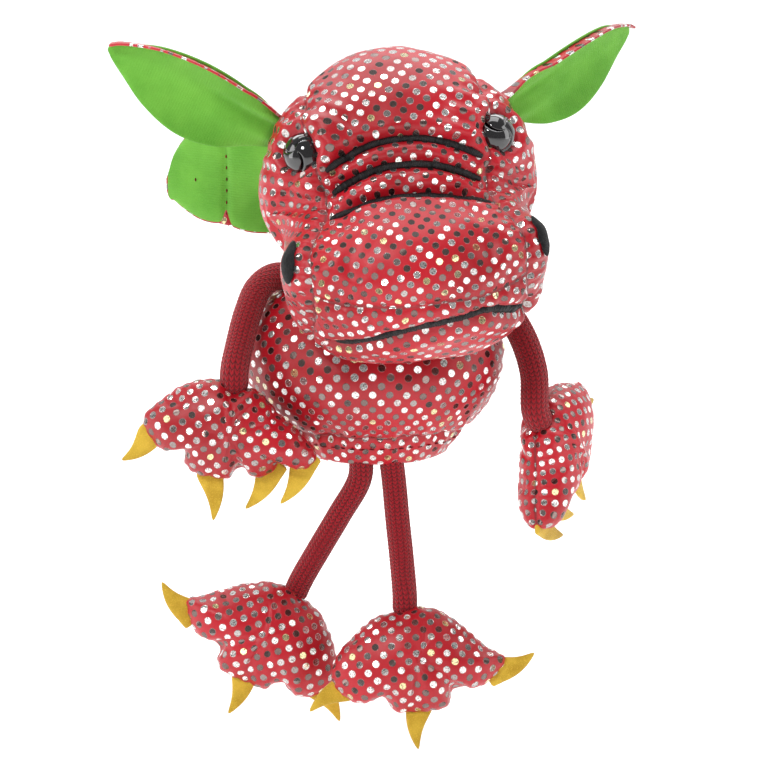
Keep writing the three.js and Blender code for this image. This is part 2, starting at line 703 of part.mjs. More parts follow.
// Each limb's route starts on its joint with the torso and ends on its joint with the paw.
// An arm's points are measured outward from the torso's side below the shoulder, past the cord's
// round end, and up from the torso's top; a leg's back from the hem's front and up from its lower edge.
const torsoSide = torsoPoint(0, TORSO.height - SHOULDER.belowTop, 0).x;
const armRoute = (side, points) =>
  points.map(([out, y, up]) => [-side * (torsoSide + ballOf(ARM_CORD) + out), y, TORSO.height + up]);
const legRoute = (points) =>
  points.map(([x, back, up]) => [x, HIP.behindHem - HEM.depth / 2 + back, up - ballOf(LEG_CORD) - HIP.gap]);
const LIMBS = [
  {
    cordName: "right_arm",
    pawName: "right_hand",
    side: 1,
    paw: HAND,
    route: armRoute(1, [
      [-7.93, 1, -0.5],
      [-3.43, -4.5, -2.7],
      [-0.63, -11, -8.5],
      [1.37, -17, -16],
      [2.67, -22, -22.7],
    ]),
    along: [1, 0, 0],
    facing: [0, -1, 0.1],
  },
  {
    cordName: "left_arm",
    pawName: "left_hand",
    side: -1,
    paw: HAND,
    route: armRoute(-1, [
      [-7.43, 2, -1],
      [-1.93, 0, -5.5],
      [3.37, -4.5, -11],
      [7.27, -9, -17.5],
      [9.67, -13, -25.5],
      [10.07, -16, -35.6],
    ]),
    along: [0.35, 0.8, 0.48],
    facing: [0.865, -0.467, 0.147],
  },
  {
    cordName: "right_leg",
    pawName: "right_foot",
    side: 1,
    paw: FOOT,
    route: legRoute([[-3.8, 0, 0], [-9.6, -0.4, -10.7], [-15.9, -0.9, -21.6], [-21, -1.4, -30.7]]),
    along: [0.9, 0, -0.42],
    facing: [-0.25, -0.85, 0.45],
  },
  {
    cordName: "left_leg",
    pawName: "left_foot",
    side: -1,
    paw: FOOT,
    route: legRoute([[5.9, 0, 0], [7, -4.4, -10.8], [8.2, -9.4, -21.4], [9, -15.4, -29.8]]),
    along: [1, 0, 0],
    facing: [0, -0.93, 0.36],
  },
];
for (const limb of LIMBS) {
  add(puppet, `${limb.cordName}_cord`, cordGeometry(limb.route, limb.paw.cord), redCord);
  addPaw(limb.pawName, limb.side, puppet, limb.route.at(-1), limb.along, limb.facing, limb.paw);
}

export default puppet;
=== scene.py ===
"""Looks of a stuffed dragon finger puppet: red foil-dot fabric, green velour, knitted cord and felt.

Lengths in the makers below are millimetres in the part's own frame; meshes are written in metres.
"""

import math

import bmesh
import bpy
import numpy as np
from mathutils import Matrix, Vector, noise
from mathutils.bvhtree import BVHTree
from mathutils.kdtree import KDTree


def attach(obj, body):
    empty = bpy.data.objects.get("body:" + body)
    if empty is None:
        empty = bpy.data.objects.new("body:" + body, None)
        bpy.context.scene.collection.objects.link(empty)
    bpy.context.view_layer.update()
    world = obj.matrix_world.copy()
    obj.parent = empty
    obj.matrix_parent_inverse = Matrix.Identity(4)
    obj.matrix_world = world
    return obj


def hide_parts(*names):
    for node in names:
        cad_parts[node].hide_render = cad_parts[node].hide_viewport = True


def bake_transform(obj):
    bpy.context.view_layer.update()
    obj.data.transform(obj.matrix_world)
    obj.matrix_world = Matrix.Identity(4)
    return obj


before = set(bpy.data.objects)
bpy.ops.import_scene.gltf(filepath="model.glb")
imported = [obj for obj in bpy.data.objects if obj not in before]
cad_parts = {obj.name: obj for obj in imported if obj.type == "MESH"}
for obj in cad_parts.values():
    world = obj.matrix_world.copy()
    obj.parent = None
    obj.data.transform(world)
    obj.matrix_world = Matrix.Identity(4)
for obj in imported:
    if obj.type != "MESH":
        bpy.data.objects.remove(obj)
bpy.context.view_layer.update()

MM = 0.001
DOT_PITCH = 2.95  # between neighbouring foil dots
DOT_RADIUS = 0.9
SIDES = (("right", 1), ("left", -1))


# ---------- camera ----------
def set_camera():
    target = Vector((0.003, 0, 0.020))
    pitch = math.radians(15)
    back = Vector((0, -math.cos(pitch), math.sin(pitch)))
    lens = bpy.data.cameras.new("view")
    lens.lens = 97
    lens.sensor_width = 36
    camera = bpy.data.objects.new("view", lens)
    camera.location = target + 0.6 * back
    camera.rotation_euler = (math.pi / 2 - pitch, 0, 0)
    bpy.context.scene.collection.objects.link(camera)
    bpy.context.scene.camera = camera
    bpy.context.scene.view_settings.view_transform = "Standard"


set_camera()


# ---------- finishes ----------
class Wire:
    """A number, colour or vector on its way through a finish's nodes."""

    def __init__(self, finish, socket):
        self.finish = finish
        self.socket = socket

    def math(self, operation, *others):
        values = {0: self}
        values.update({i + 1: other for i, other in enumerate(others)})
        return self.finish.add("ShaderNodeMath", {"operation": operation}, values)["Value"]

    def __add__(self, other):
        return self.math("ADD", other)

    __radd__ = __add__

    def __mul__(self, other):
        return self.math("MULTIPLY", other)

    __rmul__ = __mul__

    def __sub__(self, other):
        return self.math("SUBTRACT", other)

    def __rsub__(self, other):
        return (self * -1) + other

    def __truediv__(self, other):
        return self.math("DIVIDE", other)

    def __pow__(self, other):
        return self.math("POWER", other)

    def floor(self):
        return self.math("FLOOR")

    def fract(self):
        return self.math("FRACT")

    def sin(self):
        return self.math("SINE")

    def abs(self):
        return self.math("ABSOLUTE")

    def sqrt(self):
        return self.math("SQRT")

    def ramp(self, low, high, start=0.0, end=1.0):
        """Runs smoothly from start to end as this goes from low to high."""
        values = {"Value": self, "From Min": low, "From Max": high, "To Min": start, "To Max": end}
        return self.finish.add("ShaderNodeMapRange", {"interpolation_type": "SMOOTHSTEP"}, values)["Result"]


class Outputs:
    """A node's outputs by name."""

    def __init__(self, finish, node):
        self.finish = finish
        self.node = node

    def __getitem__(self, name):
        return Wire(self.finish, self.node.outputs[name])


class Finish:
    """A material, and the one method that adds a node to it."""

    def __init__(self, name, slot):
        self.material = bpy.data.materials.new(name)
        self.slot = slot
        self.material.use_nodes = True
        self.tree = self.material.node_tree
        self.tree.nodes.clear()

    def add(self, kind, settings=(), values=()):
        node = self.tree.nodes.new(kind)
        for key, value in dict(settings).items():
            setattr(node, key, value)
        for key, value in dict(values).items():
            if isinstance(value, Wire):
                self.tree.links.new(value.socket, node.inputs[key])
            else:
                node.inputs[key].default_value = value
        return Outputs(self, node)

    def place(self):
        return self.add("ShaderNodeTexCoord")["Object"]

    def flat(self):
        """The piece's own flat pattern, U and V in millimetres."""
        uv = self.add("ShaderNodeUVMap", {"uv_map": "pattern"})["UV"]
        parts = self.add("ShaderNodeSeparateXYZ", values={"Vector": uv})
        return uv, parts["X"], parts["Y"]

    # Reads the painted shade that a skin stores in a point attribute.
    def mark(self, name):
        return self.add("ShaderNodeAttribute", {"attribute_name": name})["Fac"]

    def speckle(self, vector, scale, detail=2.0, roughness=0.55):
        values = {"Vector": vector, "Scale": scale, "Detail": detail, "Roughness": roughness}
        return self.add("ShaderNodeTexNoise", values=values)["Fac"]

    def blend(self, factor, a, b):
        node = self.add("ShaderNodeMix", {"data_type": "RGBA"})
        inner = node.node
        for index, value in ((0, factor), (6, a), (7, b)):
            if isinstance(value, Wire):
                self.tree.links.new(value.socket, inner.inputs[index])
            elif index == 0:
                inner.inputs[index].default_value = value
            else:
                inner.inputs[index].default_value = (*value, 1)
        return Wire(self, inner.outputs[2])

    def bump(self, height, strength=1.0, distance=MM):
        values = {"Height": height, "Strength": strength, "Distance": distance}
        return self.add("ShaderNodeBump", values=values)["Normal"]

    def surface(self, **values):
        """Ends the finish; an underscore in a name stands for a space."""
        named = {}
        for key, value in values.items():
            fixed = tuple(value) if isinstance(value, (tuple, list)) else value
            if isinstance(fixed, tuple) and len(fixed) == 3 and "Color" in key or "Tint" in key:
                fixed = (*fixed[:3], 1)
            named[key.replace("_", " ")] = fixed
        shader = self.add("ShaderNodeBsdfPrincipled", values=named)["BSDF"]
        self.add("ShaderNodeOutputMaterial", values={"Surface": shader})
        return self


def foil_dot_fabric():
    """Red satin knit printed with mirror-foil dots in diagonal rows, with painted shade along seams and a painted
    reflection in each dot's colour.
    """
    f = Finish("foil_dot_fabric", "foil_dot_fabric")
    _, u, v = f.flat()
    step = DOT_PITCH * math.sqrt(2)
    a, b = (u + v) / step, (u - v) / step
    cell = f.add("ShaderNodeCombineXYZ", values={"X": a.floor(), "Y": b.floor()})["Vector"]
    chance = f.add("ShaderNodeTexWhiteNoise", {"noise_dimensions": "2D"}, {"Vector": cell})
    luck = chance["Value"]
    parts = f.add("ShaderNodeSeparateColor", values={"Color": chance["Color"]})
    lean_a, lean_b = parts["Red"] - 0.5, parts["Green"] - 0.5
    across, along = a.fract() - 0.5, b.fract() - 0.5
    reach = (across * across + along * along).sqrt() * DOT_PITCH
    dot = reach.ramp(DOT_RADIUS + 0.09, DOT_RADIUS - 0.09)
    place = f.place()
    cloud = f.speckle(place, 26, 2)
    grain = f.speckle(place, 2600, 2)
    seam = f.mark("seam")
    weave = (u * (2 * math.pi / 0.42)).sin() * (v * (2 * math.pi / 0.42)).sin()
    red = f.blend(cloud.ramp(0.35, 0.65), (0.36, 0.0015, 0.008), (0.50, 0.003, 0.014))
    # Painted shade: the red darkens towards near black along seams, creases and stitched ribs, at ear roots and round
    # the eyes.
    red = f.blend(seam.ramp(0.15, 1, 0, 0.75), red, (0.12, 0.002, 0.004))
    # Painted reflection: each dot's colour runs at random from deep grey-brown to near white, standing in for the
    # shadowed and bright surroundings that the mirror foil reflects.
    shade = luck.ramp(0.25, 0.75)
    foil = f.blend(shade, (0.16, 0.12, 0.11), (0.92, 0.91, 0.89))
    foil = f.blend(luck.ramp(0.93, 0.95), foil, (0.93, 0.80, 0.42))
    foil = f.blend(grain.ramp(0.30, 0.55), (0.22, 0.14, 0.13), foil)
    tilt = (across * lean_a + along * lean_b) * (dot * (2.4 * DOT_PITCH))
    height = tilt + dot * 0.05 + weave * ((1 - dot) * 0.018) + grain * 0.07
    f.surface(
        Base_Color=f.blend(dot, red, foil),
        Metallic=dot * 0.92,
        Roughness=dot.ramp(0, 1, 0.33, 0.13) + grain * 0.08,
        Sheen_Weight=0.06,
        Sheen_Roughness=0.4,
        Sheen_Tint=(1.0, 0.45, 0.5),
        Coat_Weight=dot * 0.25,
        Coat_Roughness=0.12,
        Normal=f.bump(height, 0.55),
    )
    return f


def green_velour():
    f = Finish("green_velour", "green_velour")
    _, u, v = f.flat()
    place = f.place()
    cloud = f.speckle(place, 60, 3)
    pile = f.speckle(place, 5200, 3, 0.7)
    rib = (u * (2 * math.pi / 0.75) + cloud * 5).sin()
    green = f.blend(cloud.ramp(0.3, 0.7), (0.085, 0.33, 0.022), (0.150, 0.46, 0.045))
    green = f.blend(pile.ramp(0.35, 0.75, 0, 0.45), green, (0.24, 0.58, 0.09))
    # Painted shade: the green darkens along the stitched wing ribs and at the ear roots.
    green = f.blend(f.mark("seam").ramp(0.2, 1, 0, 0.7), green, (0.05, 0.19, 0.018))
    f.surface(
        Base_Color=green,
        Roughness=pile.ramp(0.3, 0.7, 0.85, 1.0),
        Specular_IOR_Level=0.25,
        Sheen_Weight=0.3,
        Sheen_Roughness=0.5,
        Sheen_Tint=(0.75, 1.0, 0.55),
        Normal=f.bump(pile * 0.22 + rib * 0.03, 0.7),
    )
    return f


def knitted_cord():
    """Rows of small V stitches along a cord; U runs along it and V round it."""
    f = Finish("red_cord", "red_cord")
    _, u, v = f.flat()
    place = f.place()
    wale, course = 1.45, 1.15
    column = (v / wale).fract() - 0.5
    lift = (u / course + column.abs() * 1.3).fract() - 0.5
    stitch = (1 - (lift.abs() * 2) ** 2.0) * (1 - (column.abs() * 2) ** 4.0)
    fluff = f.speckle(place, 3800, 3, 0.7)
    cloud = f.speckle(place, 90, 2)
    # Painted shade: the red darkens in the gaps between stitches, where the bump is low.
    red = f.blend(stitch.ramp(0.05, 0.8), (0.085, 0.0012, 0.004), (0.36, 0.006, 0.014))
    red = f.blend(cloud.ramp(0.3, 0.75, 0, 0.5), red, (0.24, 0.003, 0.009))
    f.surface(
        Base_Color=f.blend(fluff.ramp(0.5, 0.8, 0, 0.35), red, (0.55, 0.03, 0.05)),
        Roughness=0.88,
        Specular_IOR_Level=0.3,
        Sheen_Weight=0.35,
        Sheen_Roughness=0.5,
        Sheen_Tint=(1.0, 0.5, 0.5),
        Normal=f.bump(stitch * 0.32 + fluff * 0.1, 0.9),
    )
    return f


def felt(name, slot, deep, bright, sheen):
    """Pressed wool: a matte colour with short loose fibres."""
    f = Finish(name, slot)
    place = f.place()
    cloud = f.speckle(place, 140, 3)
    fibre = f.speckle(place, 2600, 4, 0.75)
    base = f.blend(cloud.ramp(0.3, 0.7), deep, bright)
    pale = tuple(min(1, 1.35 * c + 0.02) for c in bright)
    f.surface(
        Base_Color=f.blend(fibre.ramp(0.45, 0.75, 0, 0.5), base, pale),
        Roughness=0.95,
        Specular_IOR_Level=0.2,
        Sheen_Weight=sheen,
        Sheen_Roughness=0.5,
        Normal=f.bump(fibre * 0.28 + cloud * 0.3, 0.8),
    )
    return f


def black_thread():
    f = Finish("black_thread", "black_thread")
    _, u, v = f.flat()
    place = f.place()
    strand = (u * (2 * math.pi / 0.42) + v * 1.1).sin()
    cloud = f.speckle(place, 700, 2)
    # Painted shade: the black is deepest in the grooves between the strand's twists.
    f.surface(
        Base_Color=f.blend(strand.ramp(-0.6, 1), (0.0015, 0.0015, 0.002), (0.011, 0.010, 0.012)),
        Roughness=cloud.ramp(0.3, 0.7, 0.42, 0.62),
        Specular_IOR_Level=0.45,
        Normal=f.bump(strand * 0.12 + cloud * 0.1, 0.8),
    )
    return f


def plain_weave(name, slot, deep, bright):
    f = Finish(name, slot)
    place = f.place()
    parts = f.add("ShaderNodeSeparateXYZ", values={"Vector": place})
    grid = (parts["Z"] * 9000).sin() * ((parts["X"] + parts["Y"]) * 9000).sin()
    cloud = f.speckle(place, 90, 3)
    f.surface(
        Base_Color=f.blend(cloud.ramp(0.3, 0.7), deep, bright),
        Roughness=0.85,
        Specular_IOR_Level=0.3,
        Normal=f.bump(grid * 0.03 + cloud * 0.2, 0.6),
    )
    return f


def glossy_eye():
    f = Finish("eye_plastic", "eye_plastic")
    haze = f.speckle(f.place(), 900, 3)
    f.surface(
        Base_Color=f.blend(haze, (0.002, 0.002, 0.003), (0.006, 0.005, 0.006)),
        Roughness=haze.ramp(0.4, 0.8, 0.04, 0.12),
        Specular_IOR_Level=0.6,
        Coat_Weight=1.0,
        Coat_Roughness=0.03,
    )
    return f


FOIL = foil_dot_fabric()
VELOUR = green_velour()
CORD = knitted_cord()
CLAW_FELT = felt("yellow_felt", "yellow_felt", (0.50, 0.30, 0.020), (0.70, 0.46, 0.045), 0.3)
NOSTRIL_FELT = felt("black_felt", "black_felt", (0.006, 0.006, 0.007), (0.014, 0.014, 0.015), 0.12)
THREAD = black_thread()
LINING = plain_weave("red_lining", "red_lining", (0.13, 0.002, 0.006), (0.24, 0.004, 0.012))
SEAM_THREAD = plain_weave("dark_red_thread", "red_cord", (0.07, 0.002, 0.005), (0.20, 0.006, 0.010))
EYE = glossy_eye()


# ---------- shapes ----------
def smooth_through(pairs):
    """A smooth function through (position, value) pairs in rising order, flat beyond them."""
    x = np.array([p[0] for p in pairs], float)
    y = np.array([p[1] for p in pairs], float)
    slope = np.empty(len(x))
    slope[1:-1] = (y[2:] - y[:-2]) / (x[2:] - x[:-2])
    slope[0] = (y[1] - y[0]) / (x[1] - x[0])
    slope[-1] = (y[-1] - y[-2]) / (x[-1] - x[-2])

    def at(q):
        q = np.clip(np.asarray(q, float), x[0], x[-1])
        i = np.clip(np.searchsorted(x, q, side="right") - 1, 0, len(x) - 2)
        width = x[i + 1] - x[i]
        t = (q - x[i]) / width
        return (
            (2 * t**3 - 3 * t**2 + 1) * y[i]
            + (t**3 - 2 * t**2 + t) * slope[i] * width
            + (3 * t**2 - 2 * t**3) * y[i + 1]
            + (t**3 - t**2) * slope[i + 1] * width
        )

    return at


def smoothstep(x, low, high):
    t = np.clip((np.asarray(x, float) - low) / (high - low), 0, 1)
    return t * t * (3 - 2 * t)


def curve_points(corners, closed, steps):
    """A centripetal curve through the corners, sampled at steps per corner."""
    p = np.array(corners, float)
    n = len(p)
    if closed:
        at = lambda i: p[i % n]
        spans = n
    else:
        at = lambda i: 2 * p[0] - p[1] if i < 0 else (2 * p[-1] - p[-2] if i >= n else p[i])
        spans = n - 1
    out = []
    for i in range(spans):
        p0, p1, p2, p3 = (at(i + k) for k in (-1, 0, 1, 2))
        d0, d1, d2 = (
            max(float(np.sum((b - a) ** 2)) ** 0.25, 1e-4) for a, b in ((p0, p1), (p1, p2), (p2, p3))
        )
        m1 = ((p1 - p0) / d0 - (p2 - p0) / (d0 + d1) + (p2 - p1) / d1) * d1
        m2 = ((p2 - p1) / d1 - (p3 - p1) / (d1 + d2) + (p3 - p2) / d2) * d1
        t = (np.arange(steps) / steps)[:, None]
        bend = -3 * p1 + 3 * p2 - 2 * m1 - m2
        twist = 2 * p1 - 2 * p2 + m1 + m2
        out.append(p1 + m1 * t + bend * t**2 + twist * t**3)
    out.append((p[0] if closed else p[-1])[None, :])
    return np.concatenate(out)


def evenly(points, count):
    """The same line with points at equal distances along it."""
    run = np.concatenate([[0], np.cumsum(np.linalg.norm(np.diff(points, axis=0), axis=1))])
    want = np.linspace(0, run[-1], count)
    return np.stack([np.interp(want, run, points[:, k]) for k in range(points.shape[1])], axis=1)


class StuffedForm:
    """A pillow-like form: an outline in the XY plane and a half thickness along Z.

    s runs round the outline from 0 to 1; psi is 0 at the outline and a right angle at the middle of a face.
    """

    def __init__(self, outline, centre, half, boxiness):
        fine = curve_points(outline, True, 120)
        run = np.concatenate([[0], np.cumsum(np.linalg.norm(np.diff(fine, axis=0), axis=1))])
        self.length = run[-1]
        self.shares = run / run[-1]
        self.line = evenly(fine, 2401)
        self.centre = np.array(centre, float)
        self.half = half
        self.boxiness = boxiness

    def share(self, corner):
        return float(self.shares[round(corner * 120)])

    def edge(self, s):
        q = (np.asarray(s, float) % 1) * 2400
        i = np.floor(q).astype(int) % 2400
        w = (q - np.floor(q))[..., None]
        here = self.line[i] * (1 - w) + self.line[i + 1] * w
        along = self.line[(i + 6) % 2400] - self.line[(i - 6) % 2400]
        return here, along / np.linalg.norm(along, axis=-1, keepdims=True)

    def points(self, s, psi, lift=0.0):
        s, psi = np.broadcast_arrays(np.asarray(s, float), np.asarray(psi, float))
        here, along = self.edge(s)
        power = 2 / self.boxiness(here[..., 0])
        out = here + np.stack([along[..., 1], -along[..., 0]], -1) * np.asarray(lift)[..., None]
        pull = (np.maximum(0, np.cos(psi)) ** power)[..., None]
        flat = self.centre + (out - self.centre) * pull
        z = np.sign(psi) * (self.half(flat[..., 0]) + lift) * np.abs(np.sin(psi)) ** power
        return np.concatenate([flat, z[..., None]], -1)


def placed(at, along, facing):
    """A matrix with its X along one direction and its Z as near another as it can be."""
    x = Vector(along).normalized()
    z = Vector(facing)
    z = (z - x * z.dot(x)).normalized()
    y = z.cross(x)
    turn = Matrix((x, y, z)).transposed().to_4x4()
    return Matrix.Translation(Vector(at)) @ turn


def world_points(matrix, points):
    m = np.array(matrix)
    return np.asarray(points) @ m[:3, :3].T + m[:3, 3]


def face_out(bm):
    """Turns a closed shape's faces outwards: the volume they enclose is then positive."""
    bmesh.ops.recalc_face_normals(bm, faces=bm.faces)
    if bm.calc_volume(signed=True) < 0:
        bmesh.ops.reverse_faces(bm, faces=bm.faces)


def write_piece(name, bm, finish, body=None, smooth=True):
    """Turns a bmesh in millimetres into a finished object in metres."""
    mesh = bpy.data.meshes.new(name)
    bmesh.ops.scale(bm, vec=(MM, MM, MM), verts=bm.verts)
    bm.to_mesh(mesh)
    bm.free()
    for polygon in mesh.polygons:
        polygon.use_smooth = smooth
    piece = bpy.data.objects.new(name, mesh)
    bpy.context.scene.collection.objects.link(piece)
    mesh.materials.append(finish.material)
    if body:
        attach(piece, body)
    return piece


def coordinates(piece):
    co = np.empty(3 * len(piece.data.vertices), np.float32)
    piece.data.vertices.foreach_get("co", co)
    return co.reshape(-1, 3).astype(float) / MM


def set_coordinates(piece, points):
    piece.data.vertices.foreach_set("co", (np.asarray(points) * MM).astype(np.float32).ravel())
    piece.data.update()


def normals(piece):
    out = np.empty(3 * len(piece.data.vertices), np.float32)
    piece.data.vertex_normals.foreach_get("vector", out)
    return out.reshape(-1, 3).astype(float)


def refine(piece, levels):
    """Bakes a subdivision surface into the mesh."""
    modifier = piece.modifiers.new("refine", "SUBSURF")
    modifier.levels = modifier.render_levels = levels
    modifier.uv_smooth = "PRESERVE_BOUNDARIES"
    bake_modifiers(piece)


def bake_modifiers(piece):
    graph = bpy.context.evaluated_depsgraph_get()
    mesh = bpy.data.meshes.new_from_object(piece.evaluated_get(graph), depsgraph=graph)
    old = piece.data
    piece.modifiers.clear()
    piece.data = mesh
    bpy.data.meshes.remove(old)
    mesh.name = piece.name
    for polygon in mesh.polygons:
        polygon.use_smooth = True


def lay_flat(piece, guide):
    """Unwraps a piece along its marked seams, in millimetres, each panel turned so that guide runs along U."""
    bpy.context.view_layer.objects.active = piece
    for other in bpy.context.selected_objects:
        other.select_set(False)
    piece.select_set(True)
    piece.data.uv_layers.new(name="pattern")
    bpy.ops.object.mode_set(mode="EDIT")
    bpy.ops.mesh.select_all(action="SELECT")
    bpy.ops.uv.unwrap(method="ANGLE_BASED", margin=0.01)
    bpy.ops.object.mode_set(mode="OBJECT")
    bm = bmesh.new()
    bm.from_mesh(piece.data)
    bm.faces.ensure_lookup_table()
    layer = bm.loops.layers.uv["pattern"]
    done = set()
    for first in bm.faces:
        if first.index in done:
            continue
        done.add(first.index)
        panel, queue = [], [first]
        while queue:
            face = queue.pop()
            panel.append(face)
            for edge in face.edges:
                if edge.seam:
                    continue
                for other in edge.link_faces:
                    if other.index not in done:
                        done.add(other.index)
                        queue.append(other)
        loops = [loop for face in panel for loop in face.loops]
        real = sum(face.calc_area() for face in panel) / MM**2
        drawn = 0.0
        for face in panel:
            uv = [loop[layer].uv for loop in face.loops]
            drawn += abs(sum(uv[i - 1].cross(uv[i]) for i in range(len(uv)))) / 2
        size = math.sqrt(real / max(drawn, 1e-12))
        q = np.array([loop[layer].uv for loop in loops])
        g = np.array([guide(loop.vert.co / MM) for loop in loops])
        q, g = q - q.mean(0), g - g.mean()
        turn = -math.atan2(float((q[:, 1] * g).sum()), float((q[:, 0] * g).sum()))
        c, s = math.cos(turn) * size, math.sin(turn) * size
        for loop, (x, y) in zip(loops, q):
            loop[layer].uv = (c * x - s * y, s * x + c * y)
    bm.to_mesh(piece.data)
    bm.free()


def stuff(piece, held, pressure, cap):
    """Swells a closed skin between its seams by cloth simulation; held is 1 where the skin can't move."""
    scene = bpy.context.scene
    rest = coordinates(piece)
    size = 10.0
    piece.data.transform(Matrix.Scale(size, 4))
    group = piece.vertex_groups.new(name="seams")
    for i, weight in enumerate(held):
        group.add([i], float(weight), "REPLACE")
    modifier = piece.modifiers.new("fill", "CLOTH")
    settings = modifier.settings
    settings.quality = 5
    settings.mass = 0.3
    settings.tension_stiffness = settings.compression_stiffness = 12
    settings.bending_stiffness = 0.4
    settings.use_pressure = True
    settings.uniform_pressure_force = pressure
    settings.vertex_group_mass = "seams"
    settings.pin_stiffness = 1
    settings.shrink_min = -0.05
    settings.effector_weights.gravity = 0
    modifier.collision_settings.use_collision = False
    modifier.point_cache.frame_start = 1
    modifier.point_cache.frame_end = 20
    for number in range(1, 21):
        scene.frame_set(number)
    graph = bpy.context.evaluated_depsgraph_get()
    mesh = piece.evaluated_get(graph).to_mesh()
    co = np.empty(3 * len(mesh.vertices), np.float32)
    mesh.vertices.foreach_get("co", co)
    piece.evaluated_get(graph).to_mesh_clear()
    piece.modifiers.clear()
    piece.vertex_groups.clear()
    scene.frame_set(1)
    shift = co.reshape(-1, 3) / size / MM - rest
    reach = np.linalg.norm(shift, axis=1, keepdims=True)
    shift *= np.minimum(1, cap / np.maximum(reach, 1e-9))
    shift[~np.isfinite(shift).all(axis=1)] = 0
    set_coordinates(piece, rest + shift * (1 - np.asarray(held)[:, None]))


class Lines:
    """Distances from a set of lines, and how far along them the nearest point is."""

    def __init__(self, lines):
        points = np.concatenate([np.asarray(line) for line in lines])
        run, ends = [], []
        for line in lines:
            steps = np.linalg.norm(np.diff(np.asarray(line), axis=0), axis=1)
            total = np.concatenate([[0], np.cumsum(steps)])
            run.append(total)
            ends.append(np.minimum(total, total[-1] - total))
        self.run = np.concatenate(run)
        self.end = np.concatenate(ends)
        self.tree = KDTree(len(points))
        for i, p in enumerate(points):
            self.tree.insert(p, i)
        self.tree.balance()

    def measure(self, points):
        near = [self.tree.find(p) for p in points]
        index = np.array([n[1] for n in near])
        return np.array([n[2] for n in near]), self.run[index], self.end[index]


def unevenness(points, scale, seed=0.0):
    offset = Vector((seed, 2 * seed, -seed))
    return np.array([noise.noise(Vector(p) / scale + offset) for p in points])


# Stores painted shade in the point attribute named seam: near 1 where the fabric's colour is darkened for shade in
# grooves, creases and recesses.
def mark(piece, values):
    attribute = piece.data.attributes.new("seam", "FLOAT", "POINT")
    attribute.data.foreach_set("value", np.asarray(values, np.float32))


def sew(piece, seams, depth=0.9, width=1.1, pucker=0.35, pitch=4.2, uneven=0.35, extra=None):
    """Sinks seams into a skin, with small puckers along them and a slightly uneven filling; paints shade along the sunk
    seams, plus any shade from extra, into the seam attribute.
    """
    points, out = coordinates(piece), normals(piece)
    distance, run, _ = seams.measure(points)
    wobble = unevenness(points, 9, 3)
    lift = -depth * np.exp(-((distance / width) ** 2))
    fade = np.exp(-((distance / 5.5) ** 2)) * (1 - np.exp(-((distance / 1.2) ** 2)))
    lift += pucker * np.sin(2 * math.pi * run / pitch + 3 * wobble) * fade
    lift += uneven * unevenness(points, 13, 7) + 0.4 * uneven * unevenness(points, 5, 11)
    # Painted shade in the groove of each sunk seam.
    seam = np.exp(-((distance / 0.55) ** 2))
    if extra is not None:
        more, painted_shade = extra(points, out)
        lift += more
        seam = np.maximum(seam, painted_shade)
    set_coordinates(piece, points + out * lift[:, None])
    mark(piece, seam)


def wrapped(name, form, matrix, around, rings, finish, body, seam_turns=(0,), cross_seams=()):
    """A closed skin over a stuffed form, with seams marked along rings and across between them."""
    bm = bmesh.new()
    bmesh.ops.create_uvsphere(bm, u_segments=around, v_segments=rings, radius=1)
    ball = np.array([v.co for v in bm.verts])
    s = np.arctan2(ball[:, 1], ball[:, 0]) / (2 * math.pi)
    psi = np.arcsin(np.clip(ball[:, 2], -1, 1))
    points = world_points(matrix, form.points(s, psi))
    for vert, p in zip(bm.verts, points):
        vert.co = p
    bm.verts.index_update()
    half_ring = math.radians(90 / rings)
    for edge in bm.edges:
        i, j = (vert.index for vert in edge.verts)
        for turn in seam_turns:
            if max(abs(psi[i] - math.radians(turn)), abs(psi[j] - math.radians(turn))) < half_ring:
                edge.seam = True
        for share, limit in cross_seams:
            off = [min((s[k] - share) % 1, (share - s[k]) % 1) for k in (i, j)]
            if max(off) < 0.5 / around and max(abs(psi[i]), abs(psi[j])) < math.radians(limit) + half_ring:
                edge.seam = True
    face_out(bm)
    return write_piece(name, bm, finish, body)


def sleeve(name, path, outward, wide, high, around, finish, body=None, square=2.0, ripple=None):
    """A closed tube along a path: outward is its local up, wide and high are its half sizes."""
    path = np.asarray(path, float)
    count = len(path)
    along = np.gradient(path, axis=0)
    along /= np.linalg.norm(along, axis=1, keepdims=True)
    up = np.asarray(outward, float) * np.ones_like(path)
    up = up - along * (up * along).sum(1, keepdims=True)
    up /= np.linalg.norm(up, axis=1, keepdims=True)
    aside = np.cross(along, up)
    run = np.concatenate([[0], np.cumsum(np.linalg.norm(np.diff(path, axis=0), axis=1))])
    bm = bmesh.new()
    layer = bm.loops.layers.uv.new("pattern")
    bmesh.ops.create_grid(bm, x_segments=count - 1, y_segments=around, size=1, calc_uvs=True)
    girth = math.pi * (float(np.max(wide)) + float(np.max(high)))
    for face in bm.faces:
        for loop in face.loops:
            u, v = loop[layer].uv
            loop[layer].uv = (u * run[-1], v * girth)
    wide = np.asarray(wide, float) * np.ones(count)
    high = np.asarray(high, float) * np.ones(count)
    for vert in bm.verts:
        i = int(round((vert.co.x + 1) / 2 * (count - 1)))
        angle = (vert.co.y + 1) * math.pi
        c, s = math.cos(angle), math.sin(angle)
        c = math.copysign(abs(c) ** (2 / square), c)
        s = math.copysign(abs(s) ** (2 / square), s)
        grow = 1 + (ripple(run[i], angle) if ripple else 0)
        vert.co = path[i] + aside[i] * (wide[i] * c * grow) + up[i] * (high[i] * s * grow)
    bmesh.ops.remove_doubles(bm, verts=bm.verts, dist=1e-4)
    face_out(bm)
    return write_piece(name, bm, finish, body)


def rounded(count, reach):
    """Half sizes that close to a point at both ends within reach steps."""
    i = np.arange(count)
    t = np.clip(np.minimum(i, count - 1 - i) / reach, 0, 1)
    return np.sqrt(1 - (1 - t) ** 2)


